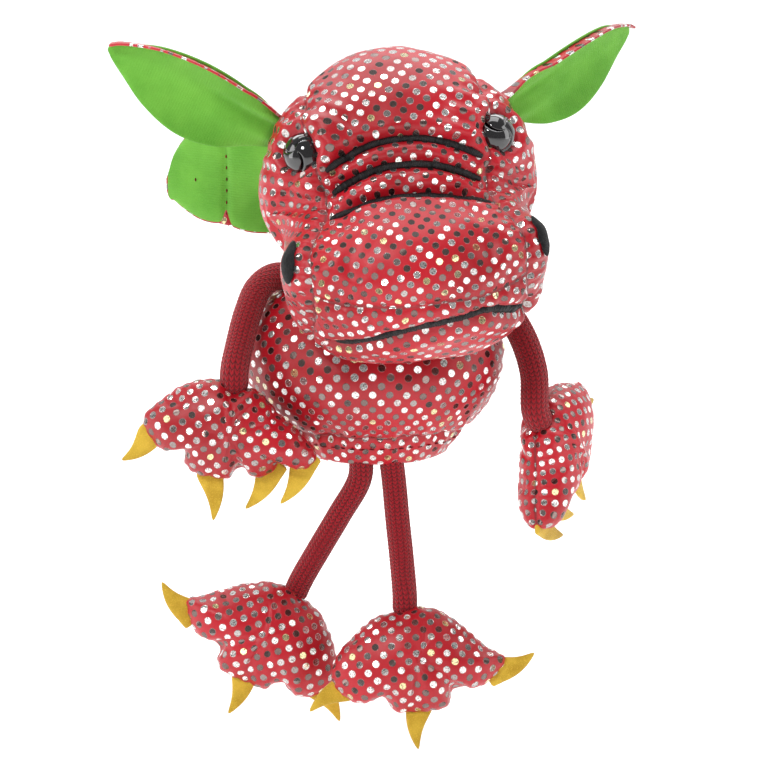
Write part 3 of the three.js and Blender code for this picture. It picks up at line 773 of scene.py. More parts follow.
def stitches(name, path, outward, body, finish, length=1.6, gap=1.0, radius=0.22, sink=0.05):
    """A run of short straight stitches along a line on a surface."""
    path = np.asarray(path, float)
    outward = np.asarray(outward, float) * np.ones_like(path)
    run = np.concatenate([[0], np.cumsum(np.linalg.norm(np.diff(path, axis=0), axis=1))])
    bm = bmesh.new()
    start = gap / 2
    while start + length < run[-1]:
        ends = [
            Vector([np.interp(q, run, path[:, k]) for k in range(3)]) for q in (start, start + length)
        ]
        up = Vector([np.interp(start, run, outward[:, k]) for k in range(3)]).normalized()
        middle = (ends[0] + ends[1]) / 2 + up * (radius - sink)
        turn = placed(middle, ends[1] - ends[0], up)
        made = bmesh.ops.create_uvsphere(bm, u_segments=6, v_segments=6, radius=1)
        shape = turn @ Matrix.Diagonal((length / 2, radius, radius, 1))
        bmesh.ops.transform(bm, matrix=shape, verts=made["verts"])
        start += length + gap
    return write_piece(name, bm, finish, body)


class Ground:
    """A finished skin that small pieces are laid on."""

    def __init__(self, piece):
        self.points = coordinates(piece)
        faces = [tuple(p.vertices) for p in piece.data.polygons]
        self.tree = BVHTree.FromPolygons([tuple(p) for p in self.points], faces)

    def land(self, points, directions, lift=0.0):
        """Where lines coming in against the directions meet the skin, raised by lift."""
        hits, outs = [], []
        for p, d in zip(points, directions):
            d = Vector(d).normalized()
            hit, out, _, _ = self.tree.ray_cast(Vector(p) + d * 14, -d, 40)
            if hit is None:
                hit, out, _, _ = self.tree.find_nearest(Vector(p))
            hits.append(hit + out * lift)
            outs.append(out)
        return np.array(hits), np.array(outs)


def form_normals(form, matrix, s, psi):
    d = 2e-3
    a = form.points(np.asarray(s) + d, psi) - form.points(np.asarray(s) - d, psi)
    b = form.points(s, np.asarray(psi) + d) - form.points(s, np.asarray(psi) - d)
    out = np.cross(a, b)
    out /= np.linalg.norm(out, axis=-1, keepdims=True)
    return out @ np.array(matrix)[:3, :3].T


# ---------- torso ----------
TORSO = {"width": 72, "depth": 50, "height": 52, "lean": 0.28}
HEM_LINE = 9.0
torso_wide = smooth_through(
    [(0, 42 / 72), (0.15, 0.735), (0.35, 0.925), (0.54, 1), (0.71, 0.985), (0.85, 0.86), (0.94, 0.62), (1, 0.36)]
)
torso_deep = smooth_through(
    [(0, 34 / 50), (0.15, 0.8), (0.35, 0.96), (0.54, 1), (0.71, 0.93), (0.85, 0.69), (0.94, 0.5), (1, 0.36)]
)


def torso_sway(z):
    return TORSO["lean"] * np.maximum(0, z - 0.54 * TORSO["height"])


def torso_points(angle, z, lift=0.0, share=1.0):
    t = z / TORSO["height"]
    wide = (TORSO["width"] / 2 * torso_wide(t) + lift) * share
    deep = (TORSO["depth"] / 2 * torso_deep(t) + lift) * share
    return np.stack([wide * np.cos(angle), deep * np.sin(angle) + torso_sway(z), z + 0 * angle], -1)


def spun(name, rows, around, place, finish, body, seam_angles=(), seam_rows=(), close=()):
    """A skin turned round Z: place(angle, row) gives the points of each row."""
    bm = bmesh.new()
    line = [bm.verts.new((1, 0, k)) for k in range(rows)]
    edges = [bm.edges.new(pair) for pair in zip(line, line[1:])]
    bmesh.ops.spin(
        bm, geom=line + edges, cent=(0, 0, 0), axis=(0, 0, 1), angle=2 * math.pi, steps=around, use_merge=True
    )
    bm.verts.index_update()
    co = np.array([v.co for v in bm.verts])
    angle, row = np.arctan2(co[:, 1], co[:, 0]), np.rint(co[:, 2]).astype(int)
    half_step = math.pi / around
    for edge in bm.edges:
        i, j = (vert.index for vert in edge.verts)
        if row[i] == row[j] and row[i] in seam_rows:
            edge.seam = True
        for turn in seam_angles:
            off = [abs((angle[k] - turn + math.pi) % (2 * math.pi) - math.pi) for k in (i, j)]
            if max(off) < half_step:
                edge.seam = True
    for vert, p in zip(bm.verts, place(angle, row)):
        vert.co = p
    for k in close:
        rim = [vert for vert, r in zip(bm.verts, row) if r == k]
        bmesh.ops.pointmerge(bm, verts=rim, merge_co=sum((v.co for v in rim), Vector()) / len(rim))
    face_out(bm)
    return write_piece(name, bm, finish, body)


def make_torso():
    heights = np.concatenate([np.linspace(0.9, HEM_LINE, 6), np.linspace(HEM_LINE, 51.6, 22)[1:]])
    rows = [(3.4, -4.4, 1), (1.2, -3.4, 1), (0.25, -1.9, 1), (0.3, -0.7, 1)]
    rows += [(z, 0.0, 1) for z in heights]
    rows += [(52.2, -0.4, 0.9), (52.5, -0.6, 0.62), (52.4, 0, 0.2), (52.4, 0, 0.0)]
    table = np.array(rows)
    hem_row = 4 + 5

    def place(angle, row):
        z, lift, share = table[row].T
        return torso_points(angle, z, lift, share)

    skin = spun(
        "torso_skin", len(rows), 72, place, FOIL, "torso", (0, math.pi), (hem_row, 3), close=(len(rows) - 1,)
    )
    lay_flat(skin, lambda p: p.x if abs(p.y) > 4 else p.x * 0.2)
    points = coordinates(skin)
    held = np.maximum.reduce(
        [
            (points[:, 2] < HEM_LINE + 0.5).astype(float),
            (points[:, 2] > 50).astype(float),
            (np.abs(points[:, 1] - torso_sway(points[:, 2])) < 1.2).astype(float),
        ]
    )
    stuff(skin, held, 3.0, 1.6)
    refine(skin, 2)
    z = np.linspace(0.5, 51, 120)
    sides = [torso_points(np.full(120, turn), z) for turn in (0, math.pi)]
    ring = torso_points(np.linspace(0, 2 * math.pi, 400), np.full(400, HEM_LINE))

    def gathers(points, out):
        angle = np.arctan2(points[:, 1] - torso_sway(points[:, 2]), points[:, 0] * 0.7)
        near_hem = np.exp(-(((points[:, 2] - HEM_LINE) / 6.5) ** 2))
        pleat = np.sin(angle * 17 + 2.5 * unevenness(points, 22, 5)) * (points[:, 2] > 0.4)
        belly = 0.9 * np.exp(-(((points[:, 2] - 27) / 9) ** 2)) * (points[:, 1] < 0)
        return 0.34 * pleat * near_hem + belly, 0 * angle

    sew(skin, Lines(sides + [ring]), depth=0.9, width=1.1, pucker=0.3, uneven=0.5, extra=gathers)
    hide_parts("torso_front_panel", "torso_back_panel", "torso_padding", "hem_band")
    ground = Ground(skin)
    turn = np.linspace(0, 2 * math.pi, 220)
    rim = torso_points(turn, np.full(220, HEM_LINE - 3.2))
    hits, outs = ground.land(rim, rim - np.array([0, 0, HEM_LINE - 3.2]))
    stitches("hem_stitches", hits, outs, "torso", SEAM_THREAD, 1.7, 1.2, 0.2)
    return skin


BORE = {"wide": 15, "deep": 12, "bore": 9.5, "depth": 44}
bore_wide = smooth_through([(0, 15), (0.2, 12.5), (0.5, 9.5), (1, 9.5)])
bore_deep = smooth_through([(0, 12), (0.2, 10.8), (0.5, 9.5), (1, 9.5)])


def make_lining():
    rows = [(z, 1.0) for z in np.linspace(0.4, BORE["depth"] - 1.6, 20)]
    rows += [(BORE["depth"] - 0.6, 0.93), (BORE["depth"], 0.7), (BORE["depth"] + 0.1, 0.35), (BORE["depth"] + 0.1, 0)]
    table = np.array(rows)

    def place(angle, row):
        z, share = table[row].T
        t = np.clip(z / BORE["depth"], 0, 1)
        crease = 0.12 * np.sin(5 * angle + z / 6)
        wide, deep = (bore_wide(t) + crease) * share, (bore_deep(t) + crease) * share
        return np.stack([wide * np.cos(angle), deep * np.sin(angle) + torso_sway(z) / 2, z], -1)

    cup = spun("finger_sleeve", len(rows), 64, place, LINING, "torso", close=(len(rows) - 1,))
    bm = bmesh.new()
    bm.from_mesh(cup.data)
    bmesh.ops.recalc_face_normals(bm, faces=bm.faces)
    bmesh.ops.reverse_faces(bm, faces=bm.faces)
    bm.to_mesh(cup.data)
    bm.free()
    wall = cup.modifiers.new("wall", "SOLIDIFY")
    wall.thickness = 0.8 * MM
    wall.offset = -1
    bake_modifiers(cup)
    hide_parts("finger_lining")
    return cup


# ---------- neck and head ----------
NECK_AT = np.array([2.5, 8.4976, 61.5])
NECK_BALL = 8.2


def make_neck():
    arcs = np.linspace(-math.acos(5.6 / NECK_BALL), math.pi / 2, 14)
    rows = [(6.0, -10.6), (5.4, -9.0)] + [(NECK_BALL * math.cos(a), NECK_BALL * math.sin(a)) for a in arcs]
    rows[-1] = (0, NECK_BALL)
    table = np.array(rows)

    def place(angle, row):
        radius, z = table[row].T
        gather = 1 + 0.05 * np.sin(11 * angle) * np.clip(1 - z / 8, 0, 1)
        return NECK_AT + np.stack([radius * gather * np.cos(angle), radius * gather * np.sin(angle), z], -1)

    neck = spun("neck_sleeve", len(rows), 48, place, FOIL, "neck", (math.pi / 2,), close=(len(rows) - 1,))
    lay_flat(neck, lambda p: p.x)
    refine(neck, 1)
    mark(neck, np.zeros(len(neck.data.vertices)))
    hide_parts("neck_tube")
    return neck


HEAD_OUTLINE = [
    (-14, -24),  # nape
    (6, -28),  # front of the neck
    (28, -27),  # throat
    (50, -26),  # chin
    (57.5, -9),  # lip
    (59, 2),  # nose
    (54, 11),  # top of the nose
    (42, 14),  # snout
    (30, 14.5),  # dip between snout and brow
    (17, 23),  # brow
    (6, 28),  # forehead
    (-12, 28),  # crown
    (-25, 14),
    (-28, -6),  # back
]
HEAD_HALF = 36.5
head_wide = smooth_through(
    [
        (-28, 0.82 * HEAD_HALF), (0, HEAD_HALF), (12, HEAD_HALF), (28, 0.88 * HEAD_HALF),
        (44, 1.09 * HEAD_HALF), (56, 1.09 * HEAD_HALF), (60, 1.02 * HEAD_HALF),
    ]
)
SKULL = StuffedForm(
    HEAD_OUTLINE, (16, 0), head_wide, lambda x: 2.15 + 0.5 * smoothstep(x, 15, 50)
)
HEAD_TURN = (
    Matrix.Translation(Vector(NECK_AT) + Vector((3.5, -14.5, 24.5)))
    @ Matrix.Rotation(math.radians(6), 4, "Z")
    @ Matrix.Rotation(math.radians(-5), 4, "Y")
    @ Matrix.Rotation(math.radians(33), 4, "X")
)
PROFILE = HEAD_TURN @ placed((0, 0, 0), (0, -1, 0), (-1, 0, 0))
CHEEK_SEAM = 40
NOSTRIL_TURN = 52
EYE_SHARE, EYE_TURN = SKULL.share(9.5), 46.5
EYE_SINK = 1.9  # how far the fabric round an eye's shank is drawn in
BROW_LINES = [(8.9, 0), (8.45, 0), (7.85, 0)]
BROW_SWAY = (-0.015, -0.003, 0.005, 0.008, 0.006, -0.002, -0.013)
MOUTH = [(-0.036, -41), (-0.014, -32), (0.012, -21), (0.01, -7), (-0.003, 7), (-0.024, 19), (-0.042, 29)]


def head_line(route, count):
    """A line on the head's form through (share, turn) corners."""
    fine = evenly(curve_points([(s, math.radians(turn)) for s, turn in route], False, 30), count)
    points = world_points(PROFILE, SKULL.points(fine[:, 0], fine[:, 1]))
    return points, form_normals(SKULL, PROFILE, fine[:, 0], fine[:, 1])


def brow_route(corner):
    s = SKULL.share(corner)
    return [(s + ds, -36 + 12 * k) for k, ds in enumerate(BROW_SWAY)]


def mouth_route():
    s = SKULL.share(4.1)
    return [(s + ds, turn) for ds, turn in MOUTH]


def make_head():
    skin = wrapped(
        "head_skin", SKULL, PROFILE, 96, 36, FOIL, "head",
        seam_turns=(-CHEEK_SEAM, CHEEK_SEAM), cross_seams=((0, CHEEK_SEAM), (SKULL.share(5), CHEEK_SEAM)),
    )
    inverse = PROFILE.inverted()

    def guide(p):
        q = inverse @ Vector(p)
        return q.z if abs(q.z) < 27 else q.x

    lay_flat(skin, guide)
    turn = np.linspace(0, 1, 700)
    cheeks = [world_points(PROFILE, SKULL.points(turn, np.radians(side * CHEEK_SEAM))) for _, side in SIDES]
    span = np.radians(np.linspace(-CHEEK_SEAM, CHEEK_SEAM, 160))
    cross = [world_points(PROFILE, SKULL.points(s, span)) for s in (0, SKULL.share(5))]
    brows = [head_line(brow_route(corner), 120)[0] for corner, _ in BROW_LINES]
    mouth = head_line(mouth_route(), 160)[0]
    eyes = [
        (world_points(PROFILE, SKULL.points(EYE_SHARE, math.radians(side * EYE_TURN))), side) for _, side in SIDES
    ]
    seams = Lines(cheeks + cross)
    lines = Lines(brows)
    smile = Lines([mouth])
    points = coordinates(skin)
    pinned = np.minimum.reduce([near.measure(points)[0] for near in (seams, lines, smile)])
    eye_gap = np.min([np.linalg.norm(points - at, axis=1) for at, _ in eyes], axis=0)
    held = np.maximum(np.exp(-((pinned / 2.2) ** 2)), np.exp(-((eye_gap / 6) ** 2)))
    stuff(skin, held, 3.5, 2.2)
    refine(skin, 2)

    def face(points, out):
        off, _, end = lines.measure(points)
        fade = smoothstep(end, -1, 7)
        lift = -1.9 * np.exp(-((off / 1.5) ** 2)) * (0.45 + 0.55 * fade)
        lift += 1.15 * np.exp(-(((off - 3.6) / 2.2) ** 2)) * fade
        low, _, _ = smile.measure(points)
        lift += -1.3 * np.exp(-((low / 1.8) ** 2)) + 0.7 * np.exp(-(((low - 5) / 2.8) ** 2))
        # Painted shade along the brow creases and the mouth line.
        painted_shade = 0.55 * np.maximum(np.exp(-((off / 1.3) ** 2)), np.exp(-((low / 1.8) ** 2)))
        for at, side in eyes:
            reach = np.linalg.norm(points - at, axis=1)
            lift += -2.9 * np.exp(-((reach / 5.6) ** 4)) + 1.2 * np.exp(-(((reach - 8.4) / 2.3) ** 2))
            for share, where, size, wide in (
                (EYE_SHARE + 0.008, 31, 3.4 if side > 0 else 1.6, 7.0),
                (EYE_SHARE - 0.035, 45, 1.5, 5.5),
            ):
                bump_at = world_points(PROFILE, SKULL.points(share, math.radians(side * where)))
                near = np.linalg.norm(points - bump_at, axis=1)
                lift += size * np.exp(-((near / wide) ** 2))
            fold = np.sin((points @ np.array([0.35, 0.2, 0.9])) * 1.35 + side)
            lift += 0.42 * fold * np.exp(-(((reach - 12) / 5) ** 2))
            # Painted shade in the hollow round each eye.
            painted_shade = np.maximum(painted_shade, 0.7 * np.exp(-((reach / 6.2) ** 4)))
        return lift, painted_shade

    sew(skin, seams, depth=1.0, width=1.2, pucker=0.42, pitch=3.9, uneven=0.55, extra=face)
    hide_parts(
        "head_gusset", "jaw_panel", "right_cheek", "left_cheek", "head_stuffing",
        "right_eye_washer", "left_eye_washer",
    )
    return skin


def make_face(ground):
    for number, (corner, _) in enumerate(BROW_LINES, 1):
        points, out = head_line(brow_route(corner), 260)
        hits, outs = ground.land(points, out, 0.35)
        hits = smooth_line(hits, 6)
        size = 0.35 + 0.65 * rounded(260, 36)
        size[[0, -1]] = 0
        piece = sleeve(
            f"brow_thread_{number}", hits, outs, 1.12 * size, 0.85 * size, 14, THREAD, "head",
            ripple=lambda run, angle: 0.05 * math.sin(run * 13.0 + angle),
        )
        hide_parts(f"brow_line_{number}")
    points, out = head_line(mouth_route(), 420)
    hits, outs = ground.land(points, out, 0.4)
    hits = smooth_line(hits, 8)
    size = 0.3 + 0.7 * rounded(420, 90)
    size[[0, -1]] = 0
    piece = sleeve(
        "mouth_thread", hits, outs, 1.55 * size, 0.95 * size, 16, THREAD, "head",
        ripple=lambda run, angle: 0.05 * math.sin(run * 12.0 + angle),
    )
    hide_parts("mouth_line")
    for name, side in SIDES:
        make_eye(name, side)
        make_nostril(name, side, ground)


def smooth_line(points, rounds):
    points = points.copy()
    for _ in range(rounds):
        points[1:-1] = 0.25 * points[:-2] + 0.5 * points[1:-1] + 0.25 * points[2:]
    return points


def make_eye(name, side):
    turn = math.radians(side * EYE_TURN)
    at = world_points(PROFILE, SKULL.points(EYE_SHARE, turn))
    out = form_normals(SKULL, PROFILE, EYE_SHARE, turn)
    at = at - out * EYE_SINK
    seat = placed(at, Vector(out).orthogonal(), out)
    arcs = np.linspace(0, math.pi / 2, 16)
    rows = [(0, -5.5), (1.5, -5.5), (1.5, -1.2), (4.9, -1.0), (5.5, -0.6)]
    rows += [(5.75 * math.cos(a), 0.3 + 4.6 * math.sin(a)) for a in arcs[:-1]] + [(0, 4.9)]
    table = np.array(rows)

    def place(angle, row):
        radius, z = table[row].T
        return world_points(seat, np.stack([radius * np.cos(angle), radius * np.sin(angle), z], -1))

    eye = spun(f"{name}_eye_button", len(rows), 64, place, EYE, "head", close=(0, len(rows) - 1))
    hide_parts(f"{name}_eye")


def make_nostril(name, side, ground):
    share, run = SKULL.share(5.9), 0.69 * SKULL.length
    bm = bmesh.new()
    bmesh.ops.create_uvsphere(bm, u_segments=48, v_segments=20, radius=1)
    ball = np.array([v.co for v in bm.verts])
    s = share + 5.25 / run * ball[:, 0]
    psi = math.radians(side * NOSTRIL_TURN) + 2.9 / HEAD_HALF * ball[:, 1]
    points = world_points(PROFILE, SKULL.points(s, psi))
    out = form_normals(SKULL, PROFILE, s, psi)
    hits, _ = ground.land(points, out)
    raise_by = 0.55 + 0.75 * ball[:, 2]
    for vert, p in zip(bm.verts, hits + out * raise_by[:, None]):
        vert.co = p
    for _ in range(2):
        bmesh.ops.smooth_vert(bm, verts=bm.verts, factor=0.5, use_axis_x=True, use_axis_y=True, use_axis_z=True)
    face_out(bm)
    piece = write_piece(f"{name}_nostril_felt", bm, NOSTRIL_FELT, "head")
    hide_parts(f"{name}_nostril")


# ---------- ears and wings ----------
def ply(name, matrix, along, across, place, finish, body, thick, outward):
    """One layer of fabric: place(x, y) takes x from 0 to 1 along and y from -1 to 1 across."""
    bm = bmesh.new()
    layer = bm.loops.layers.uv.new("pattern")
    bmesh.ops.create_grid(bm, x_segments=along, y_segments=across, size=1, calc_uvs=True)
    co = np.array([v.co for v in bm.verts])
    local, flat = place((co[:, 0] + 1) / 2, co[:, 1])
    bm.verts.index_update()
    for face in bm.faces:
        for loop in face.loops:
            loop[layer].uv = flat[loop.vert.index]
    for vert, p in zip(bm.verts, world_points(matrix, local)):
        vert.co = p
    area = sum(face.calc_area() for face in bm.faces)
    wanted = Vector(np.array(matrix)[:3, 2]) * outward
    bm.normal_update()
    total = sum((face.normal * face.calc_area() for face in bm.faces), Vector())
    if total.dot(wanted) < 0:
        bmesh.ops.reverse_faces(bm, faces=bm.faces)
    piece = write_piece(name, bm, finish, body)
    wall = piece.modifiers.new("wall", "SOLIDIFY")
    wall.thickness = thick * MM
    wall.offset = -1
    wall.use_rim = True
    round_over = piece.modifiers.new("round_over", "SUBSURF")
    round_over.levels = round_over.render_levels = 1
    bake_modifiers(piece)
    return piece, area


EAR = {"length": 50, "width": 24, "root": 11, "cup": 5}
ear_half = smooth_through(
    [(0, 5.5), (0.2, 0.42 * 24), (0.45, 12), (0.7, 0.4 * 24), (0.9, 0.19 * 24), (1, 0.05 * 24)]
)
EAR_DIRECTIONS = {"right": (-0.39, 0.38, 0.84), "left": (-0.58, -0.02, -0.81)}


def make_ear(name, side):
    root = SKULL.points(SKULL.share(11.85), math.radians(side * 59), 3.2)
    matrix = PROFILE @ placed(root, EAR_DIRECTIONS[name], (0.9, 0.1, 0))
    upper = 1 if (Vector(np.array(matrix)[:3, 1])).z > 0 else -1

    def shape(x, y, face):
        """face is 1 for the green layer in front and -1 for the red one behind."""
        reach = -7 + (EAR["length"] + 7) * x
        t = np.clip(reach / EAR["length"], 0, 1)
        half = ear_half(t) * np.where(reach < 0, 1 + reach / 40, 1)
        half = half * np.sqrt(np.clip(1 - smoothstep(x, 0.965, 1.0) * 0.65, 0, 1))
        side_y = y * upper
        width = half
        roll = 0.0
        if face < 0:
            width = half - 0.35 + 1.9 * smoothstep(side_y, 0.2, 1.0)
            roll = 3.2 * smoothstep(side_y, 0.74, 1.0)
        flat_y = y * width
        past_root = np.minimum(1, np.maximum(reach, 0) / EAR["root"])
        cup = EAR["cup"] * past_root * (flat_y / (EAR["width"] / 2)) ** 2
        edge = np.clip(1 - np.maximum(np.abs(y), (x - 0.5) * 1.9), 0, 1)
        puff = 0.85 * (1 - (1 - edge) ** 5)
        z = cup + face * (0.30 + puff) + roll
        crease = np.exp(-(((flat_y * upper - 1.2 - 0.10 * reach) / 1.6) ** 2)) * smoothstep(reach, 30, 6)
        ridge = np.exp(-(((flat_y * upper + 3.2 - 0.02 * reach) / 2.4) ** 2)) * smoothstep(reach, 34, 10)
        if face > 0:
            z = z - 1.1 * crease + 0.7 * ridge + 0.35 * np.sin(reach / 5.2) * (1 - np.abs(y)) * (t < 0.95)
        z = z + 0.9 * np.sin(flat_y * 1.15) * np.exp(-np.maximum(reach + 4, 0) / 6)
        local = np.stack([reach, flat_y, z], -1)
        return local, np.stack([reach, flat_y + face * 40], -1)

    body = f"{name}_ear"
    for part, face, finish in (("lining", 1, VELOUR), ("foil", -1, FOIL)):
        piece, area = ply(
            f"{name}_ear_{part}", matrix, 64, 30, lambda x, y, f=face: shape(x, y, f), finish, body, 0.8, face
        )
        points = world_points(matrix.inverted(), coordinates(piece))
        # Painted shade near the ear's root, where it meets the head.
        root_shade = np.exp(-(((points[:, 0] + 1) / 2.5) ** 2)) * 0.8
        mark(piece, root_shade)
        area * MM**2
        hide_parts(f"{name}_ear_inner" if face > 0 else f"{name}_ear_outer")


WING = {"span": 61, "bend": 0.0035, "scallop": -2}
wing_top = smooth_through([(0, 12), (0.14, 35), (0.35, 50), (0.6, 54), (0.84, 49), (0.95, 42), (1, 34)])
WING_KNOTS = [(0, 0), (0.26, 20), (0.64, 22.5), (0.97, 28), (1, 31)]
wing_knots = smooth_through(WING_KNOTS)
WING_SWEEP = {"right": 14, "left": 49}
WING_DEPTH = float(torso_points(np.array(math.pi / 2), np.array(37.0), 2.3)[1])


def wing_low(t):
    knots = np.array([k[0] for k in WING_KNOTS])
    bay = np.clip(np.searchsorted(knots, t, side="left"), 1, len(knots) - 1)
    start, end = knots[bay - 1], knots[bay]
    return wing_knots(t) + WING["scallop"] * np.sin(math.pi * (t - start) / (end - start))


def make_wing(name, side):
    sweep = math.radians(WING_SWEEP[name])
    out = (-side * math.cos(sweep), math.sin(sweep), 0)
    front = (-side * math.sin(sweep), -math.cos(sweep), 0)
    matrix = placed((-side * 8, WING_DEPTH, 37), out, front)
    body = f"{name}_wing"

    def shape(x, y, face):
        reach = WING["span"] * x
        low, top = wing_low(x), wing_top(x)
        middle, half = (low + top) / 2, (top - low) / 2
        half = half * np.sqrt(np.clip(1 - 0.5 * smoothstep(x, 0.97, 1), 0, 1)) + (0.35 if face < 0 else 0)
        up = middle + y * half
        edge = np.clip(1 - np.maximum(np.abs(y), np.abs(2 * x - 1)), 0, 1)
        puff = 0.9 * (1 - (1 - edge) ** 7)
        z = -WING["bend"] * reach**2 + face * (0.30 + puff)
        for share in (0.26, 0.64):
            z = z - face * 0.75 * np.exp(-(((x - share) / 0.022) ** 2)) * (edge > 0.02)
        wave = 0.5 * np.sin(reach / 6.5 + up / 9) + 0.35 * np.sin(up / 4.2 - reach / 11)
        z = z + wave * smoothstep(x, 0.0, 0.3)
        local = np.stack([reach, -side * up, z], -1)
        return local, np.stack([up + face * 90, reach], -1)

    for part, face, finish in (("lining", 1, VELOUR), ("foil", -1, FOIL)):
        piece, area = ply(
            f"{name}_wing_{part}", matrix, 88, 52, lambda x, y, f=face: shape(x, y, f), finish, body, 0.8, face
        )
        inside = world_points(matrix.inverted(), coordinates(piece))
        ribs = np.min([np.abs(inside[:, 0] - WING["span"] * share) for share in (0.26, 0.64)], axis=0)
        # Painted shade along the stitched ribs.
        mark(piece, 0.55 * np.exp(-((ribs / 0.6) ** 2)))
        area * MM**2
        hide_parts(f"{name}_wing_front" if face > 0 else f"{name}_wing_back")
        for number, (share, low, high) in enumerate(((0.26, -0.93, 0.93), (0.64, -0.93, 0.9), (0.82, -0.35, 0.3)), 1):
            y = np.linspace(low, high, 60)
            local, _ = shape(np.full(60, share), y, face)
            outward = np.array(matrix)[:3, 2] * face
            stitches(
                f"{name}_wing_{part}_stitches_{number}", world_points(matrix, local), outward, body, SEAM_THREAD,
                1.2, 2.3 if number < 3 else 5.0, 0.26, 0.1,
            )


# ---------- limbs ----------
ARM_CORD, LEG_CORD = 8.0, 7.0
HAND = {
    "thickness": 17, "cord": ARM_CORD, "centre": (-1, -12),
    "outline": [
        (0, 0), (-5.4, 2.6), (-13.7, 1.1), (-19.8, -2.7), (-25.5, -8.3), (-24.3, -12.2), (-20.1, -16.7),
        (-15.6, -17.4), (-14, -20.6), (-11.2, -23.9), (-2.9, -25.4), (1.6, -23.9), (6.9, -24.6), (13.9, -21.8),
        (19, -22.6), (23.2, -19.7), (19, -13), (13, -7.4), (5.2, -0.2),
    ],
    "claws": [((-23.8, -13.3), (-32, -20.5)), ((-7.2, -24.4), (-6.5, -38)), ((9.5, -24), (2.6, -34.5)),
              ((19, -22), (12.5, -33))],
    "folds": [((-15.8, -17.6), (-8, -9)), ((1.6, -24), (0.5, -13)), ((14, -21.8), (6.5, -11.5))],
    "nodes": ("back", "palm"),
}
FOOT = {
    "thickness": 19, "cord": LEG_CORD, "centre": (-3.5, -15),
    "outline": [(-x, y) for x, y in reversed([
        (4.3, 0.8), (0, 0), (-8.3, -1.8), (-14.6, -7.3), (-19.4, -13.6), (-20.8, -19.8), (-15.3, -25.7),
        (-5.7, -26.2), (-2.8, -28.1), (3.4, -28.8), (11.1, -27.4), (16.6, -21.4), (21.5, -21.2), (24.9, -19.1),
        (28.4, -13.6), (24.3, -10.8), (15.9, -3.9), (9, 0),
    ])],
    "claws": [((16.6, -21.9), (26.8, -28.5)), ((-4.1, -26.8), (-3.8, -39)), ((-26.3, -16.8), (-36.6, -12))],
    "folds": [((6.8, -26), (4.2, -14)), ((-14.5, -23.5), (-8.5, -13))],
    "nodes": ("top", "sole"),
}
LIMBS = {
    "right_arm": {
        "paw": "right_hand", "side": 1, "kind": HAND, "along": (1, 0, 0), "facing": (0, -1, 0.1),
        "route": [(-28, 1, 51.5), (-32.5, -4.5, 49.3), (-35.3, -11, 43.5), (-37.3, -17, 36), (-38.6, -22, 29.3)],
        "inside": [(-17, 4.5, 48.5), (-22.5, 3, 50.6)], "turn_from": (-20, 4, 50), "turn_to": (-31, -2, 50),
    },
    "left_arm": {
        "paw": "left_hand", "side": -1, "kind": HAND, "along": (0.35, 0.8, 0.48), "facing": (0.865, -0.467, 0.147),
        "route": [(28.5, 2, 51), (34, 0, 46.5), (39.3, -4.5, 41), (43.2, -9, 34.5), (45.6, -13, 26.5), (46, -16, 16.4)],
        "inside": [(17, 4, 48.5), (23, 3, 50.8)], "turn_from": (20, 4, 50), "turn_to": (32, 1, 49),
    },
    "right_leg": {
        "paw": "right_foot", "side": 1, "kind": FOOT, "along": (0.9, 0, -0.42), "facing": (-0.25, -0.85, 0.45),
        "route": [(-3.8, -14.6, -4.2), (-9.6, -15, -14.9), (-15.9, -15.5, -25.8), (-21, -16, -34.9)],
        "inside": [(-3.4, -13.4, 3.6)], "turn_from": (-3.5, -13.8, 1.5), "turn_to": (-6, -14.8, -8.5),
    },
    "left_leg": {
        "paw": "left_foot", "side": -1, "kind": FOOT, "along": (1, 0, 0), "facing": (0, -0.93, 0.36),
        "route": [(5.9, -14.6, -4.2), (7, -19, -15), (8.2, -24, -25.6), (9, -30, -34)],
        "inside": [(4.9, -12.6, 3.6)], "turn_from": (5.1, -13, 1.5), "turn_to": (6.3, -16.5, -8.5),
    },
}


def make_cord(name, limb):
    route = np.array(limb["route"], float)
    kind = limb["kind"]
    paw = placed(route[-1], limb["along"], limb["facing"])
    finger = -np.array(paw)[:3, 1]
    corners = [*limb["inside"], *route, route[-1] + finger * (0.53 * kind["cord"] + 2.5)]
    path = evenly(curve_points(corners, False, 30), 150)
    radius = kind["cord"] / 2
    size = radius * rounded(150, 9)
    outward = np.array([0.25, 0.9, 0.3])
    cord = sleeve(
        f"{name}_knit", path, outward, size, size, 28, CORD,
        ripple=lambda run, angle: 0.018 * math.sin(run * 5.46) * math.sin(angle * 9),
    )
    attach(cord, name)
    cord.parent = None
    Vector(limb["turn_from"]) * MM
    Vector(limb["turn_to"]) * MM
    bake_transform(cord)
    tuple(path[0] * MM)
    kind["cord"] * MM
    [tuple(p * MM) for p in path[::5]] + [tuple(path[-1] * MM)]
    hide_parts(f"{name}_cord")


